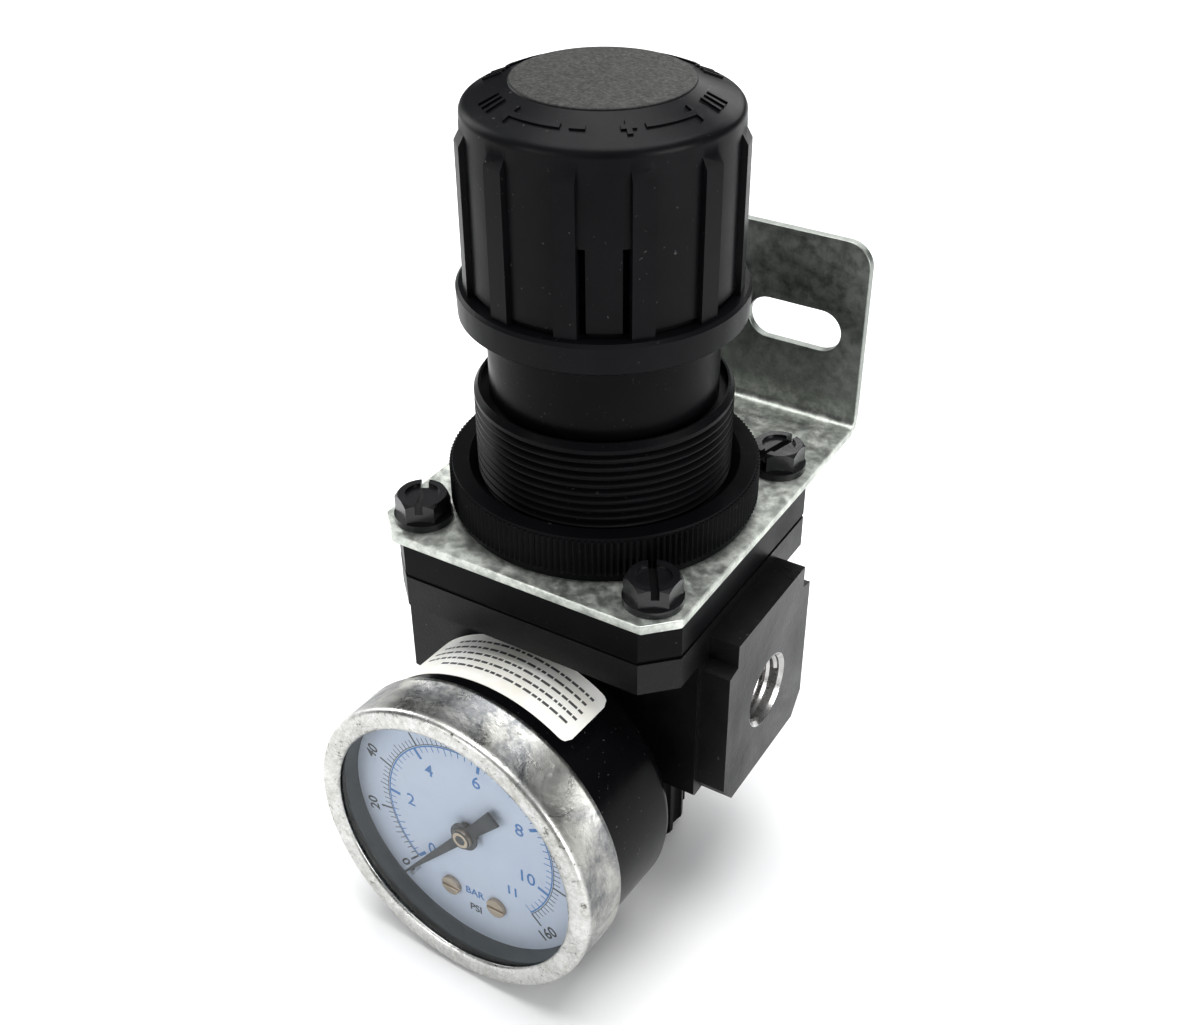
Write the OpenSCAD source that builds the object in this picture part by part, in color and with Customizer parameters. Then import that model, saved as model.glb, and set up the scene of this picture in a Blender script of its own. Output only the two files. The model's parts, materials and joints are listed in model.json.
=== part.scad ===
// Air pressure regulator with a push-to-lock knob, a bent bracket and a dial gauge.
// It stands on its bottom cap: Z = 0 is the base face and +Z is the knob axis.
// The outlet port faces +X, the inlet port -X, the gauge -Y and the bracket's upright +Y.

/* [Body] */
// Distance between the two port faces
port_span = 64.7; // [60:0.1:80]
// Height of the port axis above the base face
port_z = 44; // [43:0.1:48]
// Wall radius of the threaded port bores
port_r = 6.1; // [5:0.1:6.4]
// Depth of the thread in each port
port_depth = 14; // [10:0.5:17]
// Radius of the chamfered port mouth
port_mouth_r = 6.8; // [6.7:0.1:8]
// Width of a port block along Y
port_block_w = 30.3; // [28:0.1:34]
// Thickness of a port block along X, past the core
port_block_t = 5.3; // [4:0.1:8]
// Height of the port blocks' top above the port axis
port_block_up = 18.4; // [17:0.1:20]
// Height of the port blocks' bottom below the port axis
port_block_down = 15.6; // [15:0.1:17]
// Corner notch at a port block's top, along Y
port_notch = 2.8; // [1:0.1:5]
// Depth of the body's core along Y
core_d = 32; // [31:0.2:33]
// Width of the square flanges between body and bonnet
flange_w = 54.4; // [54:0.2:56]
// Corner chamfer of the square flanges
flange_chamfer = 5; // [2:0.1:6]
// Thickness of the body's flange
body_flange_h = 6.3; // [5:0.1:7]
// Height of the seam between body and bonnet
seam_z = 65.3; // [65:0.1:68]

/* [Bonnet] */
// Thickness of the bonnet's flange
bonnet_flange_h = 7.05; // [6:0.05:9]
// Radius of the panel thread's crests
thread_r = 21; // [20.6:0.1:21.4]
// Pitch of the panel thread
thread_pitch = 1.5; // [1:0.25:2]
// Height of the threaded neck above the bracket plate
thread_h = 22.2; // [18:0.1:24]
// Radius of the plain neck inside the knob
neck_r = 18.5; // [18:0.05:18.8]
// Height of the plain neck's top above the bracket plate
neck_h = 52; // [50:0.5:52.5]
// Radius of the spring chamber
chamber_r = 16; // [15.5:0.1:16.2]

/* [Knob] */
// Radius of the knob's bottom rim
rim_r = 22.85; // [22.4:0.05:24]
// Height of the knob's bottom rim
rim_h = 4.95; // [3:0.05:6]
// Gap between the bracket plate and the rim with the knob pulled out
rim_lift = 34.95; // [34:0.05:38]
// Radius of the knob's wall
knob_r = 20.8; // [20.6:0.05:21.5]
// Height of the knob from rim to top
knob_h = 36.05; // [34:0.05:40]
// Number of grip ribs
rib_count = 12; // [6:2:16]
// Width of a grip rib
rib_w = 3.45; // [2:0.05:5]
// Height of a grip rib above the knob's wall
rib_h = 0.85; // [0.4:0.05:1.4]
// Travel of the knob from pulled out to locked
lock_travel = 4; // [2.5:0.1:4.4]

/* [Bracket] */
// Width of the bracket
bracket_w = 56; // [55:0.5:60]
// Thickness of the bracket's sheet
bracket_t = 1.65; // [1.2:0.05:2.5]
// Distance from the knob axis to the front edge
bracket_front = 28.5; // [27.5:0.1:32]
// Distance from the knob axis to the upright's front face
upright_y = 40.55; // [36:0.05:50]
// Height of the upright above the plate
upright_h = 35.1; // [28:0.1:50]
// Distance between the two slots' centres
slot_spacing = 29.6; // [26:0.1:32]
// Length of a slot, end to end
slot_l = 17.8; // [10:0.1:20]
// Width of a slot
slot_w = 7.7; // [4:0.1:9]
// Height of the slots' centres above the plate
slot_h = 17.3; // [12:0.1:24]

/* [Fasteners] */
// Distance of each bonnet screw from the centre planes
screw_offset = 21.75; // [21.4:0.05:22.2]
// Radius of a bonnet screw's shank
screw_r = 2.4; // [1.5:0.1:2.6]
// Radius of a bonnet screw's washer face
screw_washer_r = 4.85; // [4.2:0.05:5]
// Outer radius of the panel nut
nut_r = 25.8; // [24:0.1:26.4]
// Height of the panel nut
nut_h = 8.1; // [5:0.1:10]
// Number of knurls around the panel nut
knurl_count = 160; // [80:10:200]

/* [Bottom cap] */
// Outer radius of the cap's grip
cap_r = 15.4; // [14.8:0.1:18]
// Height of the cap's grip
cap_h = 19; // [17:0.1:19.2]
// Number of grip lobes
cap_lobes = 20; // [10:1:24]

/* [Valve] */
// Radius of the valve bore
valve_bore_r = 6.6; // [6.4:0.1:6.7]
// Radius of the hole through the valve seat
orifice_r = 4.3; // [3:0.1:4.6]
// Radius of the poppet's stem
stem_r = 2.5; // [2:0.1:2.6]
// Opening stroke of the valve
valve_stroke = 1.2; // [0.6:0.1:1.5]

/* [Adjuster] */
// Radius of the adjusting screw's thread
adjuster_r = 5; // [4:0.1:5.2]
// Width across flats of the adjusting screw's drive
drive_flats = 9; // [7:0.1:9.2]
// Free length of the range spring
spring_length = 42; // [34:0.5:43]
// Mean radius of the range spring
spring_r = 11.6; // [11:0.1:12]
// Radius of the range spring's wire
spring_wire_r = 1.35; // [0.8:0.05:1.5]

/* [Gauge] */
// Height of the gauge axis where it crosses the knob axis
gauge_z = 27.4; // [27:0.1:28]
// Turn of the gauge to one side, as its tapered thread seats it
gauge_yaw = -2.6; // [-3:0.1:3]
// Upward tilt of the gauge, as its tapered thread seats it
gauge_pitch = 1.25; // [0:0.05:1.5]
// Turn of the gauge about its own axis
gauge_roll = 2; // [-5:0.5:5]
// Radius of the gauge's case
case_r = 26.75; // [25:0.05:27]
// Distance of the case's back from the knob axis
case_back = 19.8; // [19.4:0.1:22]
// Distance of the bezel's front from the knob axis
bezel_front = 47.35; // [46:0.05:52]
// Outer radius of the bezel
bezel_r = 27.95; // [27.4:0.05:28]
// Radius of the bezel's opening
bezel_open_r = 23.95; // [22:0.05:25]
// Depth of the bezel along its axis
bezel_h = 10.05; // [6:0.05:12]
// Radius of the gauge's threaded stem
stem_thread_r = 5.1; // [4:0.1:5.2]

/* [Hidden] */
$fn = 96;

// Clearances: a running fit, a push fit, and room between parts that never touch
fit = 0.05;
slack = 0.3;
// Overrun of every cutting shape past the face it opens
cut = 1;

plastic_black = [0.13, 0.13, 0.14];
paint_black = [0.16, 0.16, 0.17];
zinc = [0.66, 0.68, 0.64];
steel = [0.6, 0.6, 0.62];
brass = [0.72, 0.58, 0.3];
rubber = [0.08, 0.08, 0.08];
chrome = [0.82, 0.82, 0.8];

// Stack along Z, from the seam upwards
plate_bottom_z = seam_z + bonnet_flange_h;
plate_z = plate_bottom_z + bracket_t;
thread_top_z = plate_z + thread_h;
neck_top_z = plate_z + neck_h;
neck_plate_t = 4;
collar_top_z = neck_top_z - neck_plate_t - 1.05;
shaft_r = max(adjuster_r + 0.5, drive_flats / sqrt(3) + 0.25);
rim_z = plate_z + rim_lift;
knob_top_z = rim_z + knob_h;

// Body levels and chambers, from the seam downwards
flange_z = seam_z - body_flange_h;
core_w = port_span - 2 * port_block_t;
block_top_z = port_z + port_block_up;
block_bottom_z = port_z - port_block_down;
diaphragm_t = 1.2;
diaphragm_r = 22.5;
diaphragm_bottom_z = seam_z - diaphragm_t;
pressure_chamber_r = 19.8;
pressure_floor_z = flange_z + 2.3;
outlet_chamber_r = 11.5;
seat_r = 8;
seat_h = 4;
seat_z = port_z + 3;
passage_x = 12.5;
passage_r = 3.6;

// Washer face of the bonnet screws, kept clear of the panel nut
screw_face_r = min(screw_washer_r, screw_offset * sqrt(2) - nut_r - fit);

// Bottom cap and the spigot that it screws on
column_r = 14;
spigot_r = 12.2;
gauge_boss_r = 7.8;
seam_groove_d = 0.35;
cap_floor = 4;
cap_seal_r = 0.75;
spigot_bottom_z = cap_floor + 2 * cap_seal_r;
post_r = 5.4;
post_top_z = 26;
post_bore_z = 10;
stem_bottom_z = 13;

// Poppet
poppet_head_h = 3.7;
poppet_seal_t = 0.8;
poppet_r = valve_bore_r - 0.6;
poppet_top_z = seat_z - poppet_seal_t;
poppet_bottom_z = poppet_top_z - poppet_head_h;
pin_r = 1.5;

// Diaphragm stack
seat_plate_t = 1.2;
pressure_plate_t = 1.2;
hub_r = 4;
hub_flange_t = 1.4;
hub_bottom_z = diaphragm_bottom_z - pressure_plate_t - hub_flange_t;
nose_h = 1.1;
pin_top_z = hub_bottom_z - nose_h;

// Adjuster
nut_bottom_z = seam_z + seat_plate_t + spring_length;
spring_nut_h = 8;
screw_bottom_z = nut_bottom_z - 8;
collar_t = 2;
key_w = 4;
key_r = chamber_r + 1.2;

// Knob interior
knob_bore_r = neck_r + 0.7;
knob_roof_t = 4.5;
hub_socket_top_z = knob_top_z - 3.2;
drive_top_z = hub_socket_top_z - lock_travel - 0.5;
knob_hub_r = 8;
spline_count = 24;
spline_depth = 0.8;
spline_h = 3.5;
spline_gap = 0.6;
groove_h = 0.9;
groove_z = neck_top_z - spline_h - 1.2;
first_rib = 16.4;

// Gauge levels along its own axis, measured from the knob axis
case_wall = 0.8;
bezel_t = 0.9;
bezel_back = bezel_front - bezel_h;
lens_t = 2;
lens_z = bezel_front - bezel_t - lens_t - 0.05;
gasket_t = 0.9;
gasket_z = lens_z - gasket_t;
dial_t = 0.7;
dial_z = bezel_front - 6.55;
dial_r = 24.5;
pointer_z = dial_z + dial_t + 1.1;
pointer_t = 0.4;
boss_z = dial_z + dial_t + 0.4;
pointer_hub_top = lens_z - 0.5;
pointer_rest = 230 - gauge_roll;
dial_screw_x = 4.9;
dial_screw_y = -15;
socket_front = case_back + 8.7;
movement_z = socket_front + 1;
movement_top = movement_z + 7;
movement_plate_t = 1;

// Movement: an 8-tooth pinion and a sector cut from a 64-tooth wheel
gear_module = 0.25;
pinion_teeth = 8;
sector_teeth = 64;
pinion_r = gear_module * pinion_teeth / 2;
sector_r = gear_module * sector_teeth / 2;
sector_pivot_y = -(pinion_r + sector_r);
sector_travel = 270 * pinion_teeth / sector_teeth;
arbor_r = 0.5;
tail_r = 5;
tail_angle = -91;
tube_r = 17.5;
tube_tip_angle = -35;
tube_block_w = 12;
link_z = movement_z + 4.1;

// Square with its corners cut off, centred
module cut_square(width, corner) {
    side = width / 2;
    inner = side - corner;
    polygon([[side, -inner], [side, inner], [inner, side], [-inner, side],
             [-side, inner], [-side, -inner], [-inner, -side], [inner, -side]]);
}

// Cylinder that stands on z
module post(r, z, h) {
    translate([0, 0, z]) cylinder(r = r, h = h);
}

// Ring between two radii that stands on z
module ring(outer, inner, z, h) {
    translate([0, 0, z]) difference() {
        cylinder(r = outer, h = h);
        translate([0, 0, -cut]) cylinder(r = inner, h = h + 2 * cut);
    }
}

// Copies the children to the four bonnet screws
module at_screws() {
    for (x = [-screw_offset, screw_offset], y = [-screw_offset, screw_offset])
        translate([x, y, 0]) children();
}

// Gauge frame: local z runs out along the gauge axis, y points up and x to the viewer's right
module gauge_frame() {
    translate([0, 0, gauge_z]) rotate([90 - gauge_pitch, 0, gauge_yaw]) rotate([0, 0, gauge_roll]) children();
}

// Wire helix from z to z + h, with flat ends left to the seats
module coil(mean_r, wire_r, z, h, turns, steps, sides) {
    count = turns * steps;
    rise = (h - 2 * wire_r) / count;
    points = [for (i = [0:count], k = [0:sides - 1])
        let (a = 360 * i / steps, t = 360 * k / sides, r = mean_r + wire_r * cos(t))
        [r * cos(a), r * sin(a), z + wire_r + rise * i + wire_r * sin(t)]];
    skin = [for (i = [0:count - 1], k = [0:sides - 1])
        let (a = i * sides + k, b = i * sides + (k + 1) % sides)
        [a, a + sides, b + sides, b]];
    first_end = [for (k = [0:sides - 1]) k];
    last_end = [for (k = [sides - 1:-1:0]) count * sides + k];
    polyhedron(points, concat(skin, [first_end, last_end]));
}

// Thread shown as rings: the outline of a neck with v-grooves between the crests
function thread_outline(inner, crest, root, z, h, pitch) =
    let (count = floor(h / pitch))
    concat([[inner, z], [crest, z]],
           [for (i = [0:count - 1], s = [0:2])
               let (base = z + i * pitch + pitch * 0.2)
               s == 0 ? [crest, base] : s == 1 ? [root, base + pitch * 0.4] : [crest, base + pitch * 0.8]],
           [[crest, z + h], [inner, z + h]]);

// Port block outline in the YZ plane: notched top corners and bevelled bottom corners
module port_outline() {
    side = port_block_w / 2;
    notch_z = block_top_z - 4.4;
    bevel_z = block_bottom_z + 4.2;
    bevel = 3.2;
    polygon([[-side + bevel, block_bottom_z], [side - bevel, block_bottom_z], [side, bevel_z],
             [side, notch_z - 0.6], [side - port_notch, notch_z], [side - port_notch, block_top_z],
             [-side + port_notch, block_top_z], [-side + port_notch, notch_z], [-side, notch_z - 0.6],
             [-side, bevel_z]]);
}

// Core outline in the YZ plane, with small bevels at the bottom corners
module core_outline() {
    side = core_d / 2;
    bevel = 0.5;
    bottom_z = block_bottom_z + 1;
    polygon([[-side + bevel, bottom_z], [side - bevel, bottom_z], [side, bottom_z + bevel],
             [side, flange_z + cut], [-side, flange_z + cut], [-side, bottom_z + bevel]]);
}

// Groove around the seam, cut half from each flange
module seam_groove() {
    translate([0, 0, seam_z - seam_groove_d]) linear_extrude(2 * seam_groove_d) difference() {
        square(flange_w + 2 * cut, center = true);
        cut_square(flange_w - 2 * seam_groove_d, flange_chamfer);
    }
}

// Extrudes a YZ outline along X from x
module along_x(x, length) {
    translate([x, 0, 0]) rotate([90, 0, 90]) linear_extrude(length) children();
}

module body_outside() {
    translate([0, 0, flange_z]) linear_extrude(body_flange_h) cut_square(flange_w, flange_chamfer);
    along_x(-core_w / 2, core_w) core_outline();
    along_x(-port_span / 2, port_block_t + cut / 2) port_outline();
    along_x(port_span / 2 - port_block_t - cut / 2, port_block_t + cut / 2) port_outline();
    post(column_r, cap_h + 0.5, flange_z - cap_h);
    translate([0, core_d / 2, gauge_z]) rotate([90, 0, 0]) cylinder(r = gauge_boss_r, h = core_d);
    post(spigot_r, spigot_bottom_z, cap_h + cut);
}

// Threaded bore with its mouth chamfer, along +X from the port face inwards
module port_cut() {
    mouth_depth = 0.7;
    translate([port_span / 2 - port_depth, 0, port_z]) rotate([0, 90, 0])
        cylinder(r = port_r, h = port_depth + cut);
    translate([port_span / 2 - mouth_depth, 0, port_z]) rotate([0, 90, 0])
        cylinder(r1 = port_r, r2 = port_mouth_r, h = mouth_depth);
    translate([port_span / 2, 0, port_z]) rotate([0, 90, 0]) cylinder(r = port_mouth_r, h = cut);
}

module body_inside() {
    inlet_z = port_z - 4;
    inlet_r = 3.2;
    gauge_passage_r = 1.2;
    gauge_passage_y = 9.6;
    port_reach = port_span / 2 - port_depth;
    post(diaphragm_r + fit, diaphragm_bottom_z, diaphragm_t + cut);
    post(pressure_chamber_r, pressure_floor_z, seam_z - pressure_floor_z);
    post(outlet_chamber_r, seat_z + seat_h, pressure_floor_z - seat_z - seat_h + cut);
    post(seat_r + fit, seat_z, seat_h + cut);
    post(valve_bore_r, spigot_bottom_z - cut, seat_z - spigot_bottom_z + 2 * cut);
    port_cut();
    mirror([1, 0, 0]) port_cut();
    translate([passage_x, 0, port_z]) cylinder(r = passage_r, h = pressure_floor_z - port_z + cut);
    translate([passage_x, 0, port_z]) rotate([0, 90, 0])
        cylinder(r = passage_r, h = port_reach - passage_x + cut);
    translate([-port_reach - cut, 0, inlet_z]) rotate([0, 90, 0]) cylinder(r = inlet_r, h = port_reach);
    for (y = [-gauge_passage_y, gauge_passage_y]) translate([0, y, gauge_z])
        cylinder(r = gauge_passage_r, h = seat_z + seat_h - gauge_z + cut);
    gauge_frame() post(stem_thread_r + fit, core_d / 2 - 5.9, 12);
    rear_port_cut();
    at_screws() post(screw_r + fit, flange_z - cut, body_flange_h + 2 * cut);
}

module rear_port_cut() {
    translate([0, core_d / 2 - 6, gauge_z]) rotate([-90, 0, 0]) cylinder(r = stem_thread_r + fit, h = 6 + cut);
}

module body() {
    color(paint_black) difference() {
        body_outside();
        body_inside();
        seam_groove();
    }
}

// Slots in the bonnet's bore that keep the spring nut from turning
module key_slots() {
    for (side = [0, 180]) rotate(side)
        translate([0, -key_w / 2 - fit, seam_z - cut])
            cube([key_r + fit, key_w + 2 * fit, collar_top_z - seam_z + 1.05 + cut]);
}

// Teeth that lock the knob: gaps in the neck's top, with the same pitch as the knob's inner teeth
module spline_teeth(inner, outer, width, z, h) {
    for (i = [0:spline_count - 1]) rotate(i * 360 / spline_count)
        translate([inner, -width / 2, z]) cube([outer - inner, width, h]);
}

module bonnet() {
    gap_depth = 1.5;
    tooth_w = 2.4;
    plain_h = plate_z - plate_bottom_z + 1;
    color(plastic_black) difference() {
        union() {
            translate([0, 0, seam_z]) linear_extrude(bonnet_flange_h) cut_square(flange_w, flange_chamfer);
            post(thread_r, plate_bottom_z - cut, plain_h + cut);
            rotate_extrude() polygon(thread_outline(chamber_r - cut, thread_r, thread_r - 0.85,
                plate_bottom_z + plain_h, thread_h - 1 - plain_h + bracket_t, thread_pitch));
            translate([0, 0, thread_top_z - 1]) cylinder(r1 = thread_r, r2 = thread_r - 0.7, h = 1);
            post(neck_r, thread_top_z - cut, neck_top_z - thread_top_z + cut);
        }
        seam_groove();
        ring(thread_r - 1.1, neck_r, thread_top_z - gap_depth, gap_depth + cut);
        post(pressure_chamber_r, seam_z - cut, 2.4 + cut);
        post(chamber_r, seam_z, neck_top_z - neck_plate_t - seam_z);
        post(shaft_r, neck_top_z - neck_plate_t - cut, neck_plate_t + 2 * cut);
        key_slots();
        spline_teeth(neck_r - spline_depth, neck_r + cut, tooth_w, neck_top_z - spline_h, spline_h + cut);
        for (drop = [0, lock_travel])
            ring(neck_r + cut, neck_r - 0.4, groove_z - drop, groove_h);
        at_screws() post(screw_r + slack, seam_z - cut, bonnet_flange_h + 2 * cut);
    }
}

// Rounded slot along X, cut through along Y
module slot_cut(x, z) {
    reach = slot_l / 2 - slot_w / 2;
    translate([x, upright_y - cut, z]) rotate([-90, 0, 0]) linear_extrude(bracket_t + 2 * cut) union() {
        square([2 * reach, slot_w], center = true);
        translate([-reach, 0]) circle(r = slot_w / 2);
        translate([reach, 0]) circle(r = slot_w / 2);
    }
}

// Quarter of a bent sheet, from the flat plate up to the upright
module bend(inside_r) {
    translate([-bracket_w / 2, upright_y - inside_r, plate_z + inside_r]) rotate([0, 90, 0])
        rotate_extrude(angle = 90) translate([inside_r, 0]) square([bracket_t, bracket_w]);
}

module bracket() {
    bend_r = 1.6;
    corner = 4.7;
    top_corner_r = 4.5;
    side = bracket_w / 2;
    top_z = plate_z + upright_h;
    color(zinc) difference() {
        union() {
            translate([0, 0, plate_bottom_z]) linear_extrude(bracket_t)
                polygon([[-side + corner, -bracket_front], [side - corner, -bracket_front],
                         [side, -bracket_front + corner], [side, upright_y - bend_r],
                         [-side, upright_y - bend_r], [-side, -bracket_front + corner]]);
            bend(bend_r);
            translate([0, upright_y + bracket_t, 0]) rotate([90, 0, 0]) linear_extrude(bracket_t) union() {
                translate([-side, plate_z + bend_r]) square([bracket_w, top_z - plate_z - bend_r - top_corner_r]);
                translate([-side + top_corner_r, top_z - top_corner_r - cut])
                    square([bracket_w - 2 * top_corner_r, top_corner_r + cut]);
                for (x = [-side + top_corner_r, side - top_corner_r])
                    translate([x, top_z - top_corner_r]) circle(r = top_corner_r);
            }
        }
        for (x = [-slot_spacing / 2, slot_spacing / 2]) slot_cut(x, plate_z + slot_h);
        post(thread_r + slack, plate_bottom_z - cut, bracket_t + 2 * cut);
        at_screws() post(screw_r + slack, plate_bottom_z - cut, bracket_t + 2 * cut);
    }
}

// Knurled outline: one tooth for each step around the ring
module knurl_outline(outer, depth, count) {
    step = 360 / count;
    polygon([for (i = [0:count - 1], half = [0, 1])
        let (r = outer - depth * half, a = step * (i + half / 2)) [r * cos(a), r * sin(a)]]);
}

module panel_nut() {
    knurl_depth = 0.45;
    lip_h = 1.3;
    bevel_r = 1.5;
    color(plastic_black) difference() {
        union() {
            post(nut_r - knurl_depth - 0.1, plate_z, nut_h);
            translate([0, 0, plate_z + lip_h]) linear_extrude(nut_h - lip_h - 0.4)
                knurl_outline(nut_r, knurl_depth, knurl_count);
        }
        post(thread_r + fit, plate_z - cut, nut_h + 2 * cut);
        translate([0, 0, plate_z + nut_h - bevel_r - cut])
            cylinder(r1 = thread_r - cut, r2 = thread_r + bevel_r + cut, h = bevel_r + 2 * cut);
    }
}

// Slotted hexagon head with a dished top, on a washer face and its shank
module bonnet_screw(slot_turn) {
    washer_h = 1.2;
    head_h = 4.7;
    hex_flats = 8;
    slot = 1.3;
    slot_depth = 1.7;
    dish_r = 2.9;
    dish_depth = 0.6;
    top_z = plate_z + head_h;
    difference() {
        union() {
            post(screw_face_r, plate_z, washer_h);
            translate([0, 0, plate_z]) intersection() {
                rotate(30) cylinder(r = hex_flats / sqrt(3), h = head_h, $fn = 6);
                cylinder(r1 = hex_flats / 2 + 4.4, r2 = hex_flats / 2 + 0.05, h = head_h);
            }
            post(screw_r, flange_z + 0.6, plate_z - flange_z);
        }
        post(dish_r, top_z - dish_depth, dish_depth + cut);
        rotate(slot_turn) translate([-hex_flats, -slot / 2, top_z - slot_depth])
            cube([2 * hex_flats, slot, slot_depth + cut]);
    }
}

// Each screw stopped at its own angle when it was tightened
module bonnet_screws() {
    slot_turns = [[118, 20], [123, 75]];
    color(plastic_black) for (i = [0, 1], j = [0, 1])
        translate([(2 * i - 1) * screw_offset, (2 * j - 1) * screw_offset, 0]) bonnet_screw(slot_turns[i][j]);
}

module bottom_cap() {
    scallop_r = 2.2;
    scallop_out = 1;
    first_lobe = 13;
    chamfer = 1.2;
    color(plastic_black) difference() {
        intersection() {
            linear_extrude(cap_h) difference() {
                circle(r = cap_r);
                for (i = [0:cap_lobes - 1]) rotate(first_lobe + (i + 0.5) * 360 / cap_lobes)
                    translate([cap_r + scallop_out, 0]) circle(r = scallop_r);
            }
            rotate_extrude() polygon([[0, 0], [cap_r - chamfer, 0], [cap_r, chamfer], [cap_r, cap_h - chamfer],
                                      [cap_r - chamfer, cap_h], [0, cap_h]]);
        }
        post(spigot_r + fit, cap_floor, cap_h);
    }
    color(plastic_black) difference() {
        post(post_r, cap_floor - 0.5, post_top_z - cap_floor + 0.5);
        post(stem_r + fit, post_bore_z, post_top_z);
        post(stem_r + 1.5, post_top_z - 4.4, 1.9);
    }
}

module cap_seal() {
    color(rubber) translate([0, 0, cap_floor + cap_seal_r])
        rotate_extrude() translate([10, 0]) circle(r = cap_seal_r, $fn = 32);
}

module stem_seal() {
    cord_r = 0.74;
    color(rubber) translate([0, 0, post_top_z - 4.4 + 0.95])
        rotate_extrude() translate([stem_r + 0.02 + cord_r, 0]) circle(r = cord_r, $fn = 32);
}

module valve_seat() {
    color(brass) ring(seat_r, orifice_r, seat_z, seat_h);
}

module rear_port_plug() {
    depth = 5.8;
    socket_flats = 5;
    color(brass) translate([0, core_d / 2 - 0.2, gauge_z]) rotate([90, 0, 0]) difference() {
        cylinder(r = stem_thread_r, h = depth);
        translate([0, 0, -cut]) cylinder(r = socket_flats / sqrt(3), h = 3 + cut, $fn = 6);
    }
}

// Flat disc with a rounded fold, clamped between body and bonnet
module diaphragm() {
    fold_r = 1.4;
    fold_at = 17.3;
    color(rubber) rotate_extrude() union() {
        translate([hub_r + fit, diaphragm_bottom_z]) square([diaphragm_r - hub_r - fit, diaphragm_t]);
        intersection() {
            translate([fold_at, seam_z]) circle(r = fold_r, $fn = 48);
            translate([fold_at - fold_r, seam_z - 0.2]) square([2 * fold_r, fold_r + 0.2]);
        }
    }
}

module thrust_washer() {
    color(brass) ring(adjuster_r + 4.4, shaft_r, collar_top_z, 1);
}

module adjusting_screw() {
    drive_z = neck_top_z + 0.4;
    color(steel) union() {
        rotate_extrude() polygon(thread_outline(0, adjuster_r, adjuster_r - 0.7, screw_bottom_z,
            collar_top_z - collar_t - screw_bottom_z, thread_pitch));
        post(adjuster_r + 4, collar_top_z - collar_t, collar_t);
        post(shaft_r - fit, collar_top_z, drive_z - collar_top_z);
        translate([0, 0, drive_z - cut]) rotate(30)
            cylinder(r = drive_flats / sqrt(3), h = drive_top_z - drive_z + cut, $fn = 6);
    }
}

// Outline of the knob's outside, from the rim to the raised disc on top
module knob_outline() {
    disc_r = 13.6;
    disc_step = 0.35;
    shoulder = 1.6;
    cone_drop = 2.5;
    wall_top_z = knob_top_z - disc_step - cone_drop - shoulder;
    rim_top_z = rim_z + rim_h;
    polygon(concat(
        [[0, rim_z], [rim_r - 0.45, rim_z], [rim_r - 0.15, rim_z + 0.3], [rim_r, rim_top_z - 0.5],
         [rim_r - 0.5, rim_top_z], [knob_r - 0.7, rim_top_z], [knob_r - 0.7, rim_top_z + 0.9],
         [knob_r, rim_top_z + 0.9]],
        [for (a = [0:15:75]) [knob_r - shoulder * (1 - cos(a)), wall_top_z + shoulder * sin(a)]],
        [[disc_r, knob_top_z - disc_step], [disc_r - 0.1, knob_top_z - 0.15], [disc_r - 0.4, knob_top_z],
         [0, knob_top_z]]));
}

// One grip rib: its top end slopes back into the wall
module grip_rib() {
    top_z = knob_top_z - 6;
    slope = 1.7;
    rib_z = rim_z + rim_h - 0.2;
    rotate([90, 0, 0]) translate([0, 0, -rib_w / 2]) linear_extrude(rib_w)
        polygon([[knob_r - 1, rib_z], [knob_r + rib_h, rib_z], [knob_r + rib_h, top_z - slope],
                 [knob_r - 0.1, top_z], [knob_r - 1, top_z]]);
}

// Two slits beside a snap tab, halfway between two ribs
module tab_slits() {
    slit_w = 1.1;
    tab_half = 8.75;
    slit_z = rim_z + rim_h + 0.2;
    for (tab = [0, 180], side = [-tab_half, tab_half]) rotate(first_rib - 75 + tab + side)
        translate([knob_bore_r - cut, -slit_w / 2, slit_z]) cube([4, slit_w, 13.6]);
}

module knob() {
    tooth_w = 2;
    bump_h = 0.7;
    roof_z = knob_top_z - knob_roof_t;
    hub_z = neck_top_z + lock_travel + spline_gap;
    tooth_z = neck_top_z + spline_gap;
    rib_step = 360 / rib_count;
    color(plastic_black) difference() {
        union() {
            difference() {
                rotate_extrude() knob_outline();
                post(knob_bore_r, rim_z - cut, roof_z - rim_z + cut);
            }
            for (i = [0:rib_count - 1]) rotate(first_rib + i * rib_step) grip_rib();
            post(knob_hub_r, hub_z, roof_z - hub_z + cut);
            spline_teeth(neck_r - spline_depth + 0.2, knob_bore_r + 0.3, tooth_w, tooth_z, spline_h - 0.3);
            for (tab = [0, 180]) rotate(first_rib - 75 + tab)
                translate([neck_r + 0.1, -2, groove_z + 0.1]) cube([1.2, 4, bump_h]);
        }
        tab_slits();
        translate([0, 0, hub_z - cut]) rotate(30)
            cylinder(r = (drive_flats + 2 * fit) / sqrt(3), h = hub_socket_top_z - hub_z + cut, $fn = 6);
    }
}

module spring_nut() {
    color(steel) difference() {
        union() {
            post(chamber_r - 0.4, nut_bottom_z, 2.4);
            post(spring_r - spring_wire_r - 0.3, nut_bottom_z - 2, spring_nut_h);
            for (side = [0, 180]) rotate(side)
                translate([0, -key_w / 2, nut_bottom_z]) cube([key_r - fit, key_w, 2.4]);
        }
        post(adjuster_r + fit, nut_bottom_z - 2 - cut, spring_nut_h + 2 * cut);
    }
}

module range_spring() {
    color(steel) coil(spring_r, spring_wire_r, seam_z + seat_plate_t, spring_length, 7, 20, 8);
}

module spring_seat() {
    color(zinc) union() {
        ring(spring_r + spring_wire_r + 1.4, hub_r + fit, seam_z, seat_plate_t);
        ring(spring_r - spring_wire_r - 0.4, hub_r + fit, seam_z, seat_plate_t + 1.8);
    }
}

module pressure_plate() {
    color(zinc) ring(13, hub_r + fit, diaphragm_bottom_z - pressure_plate_t, pressure_plate_t);
}

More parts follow.
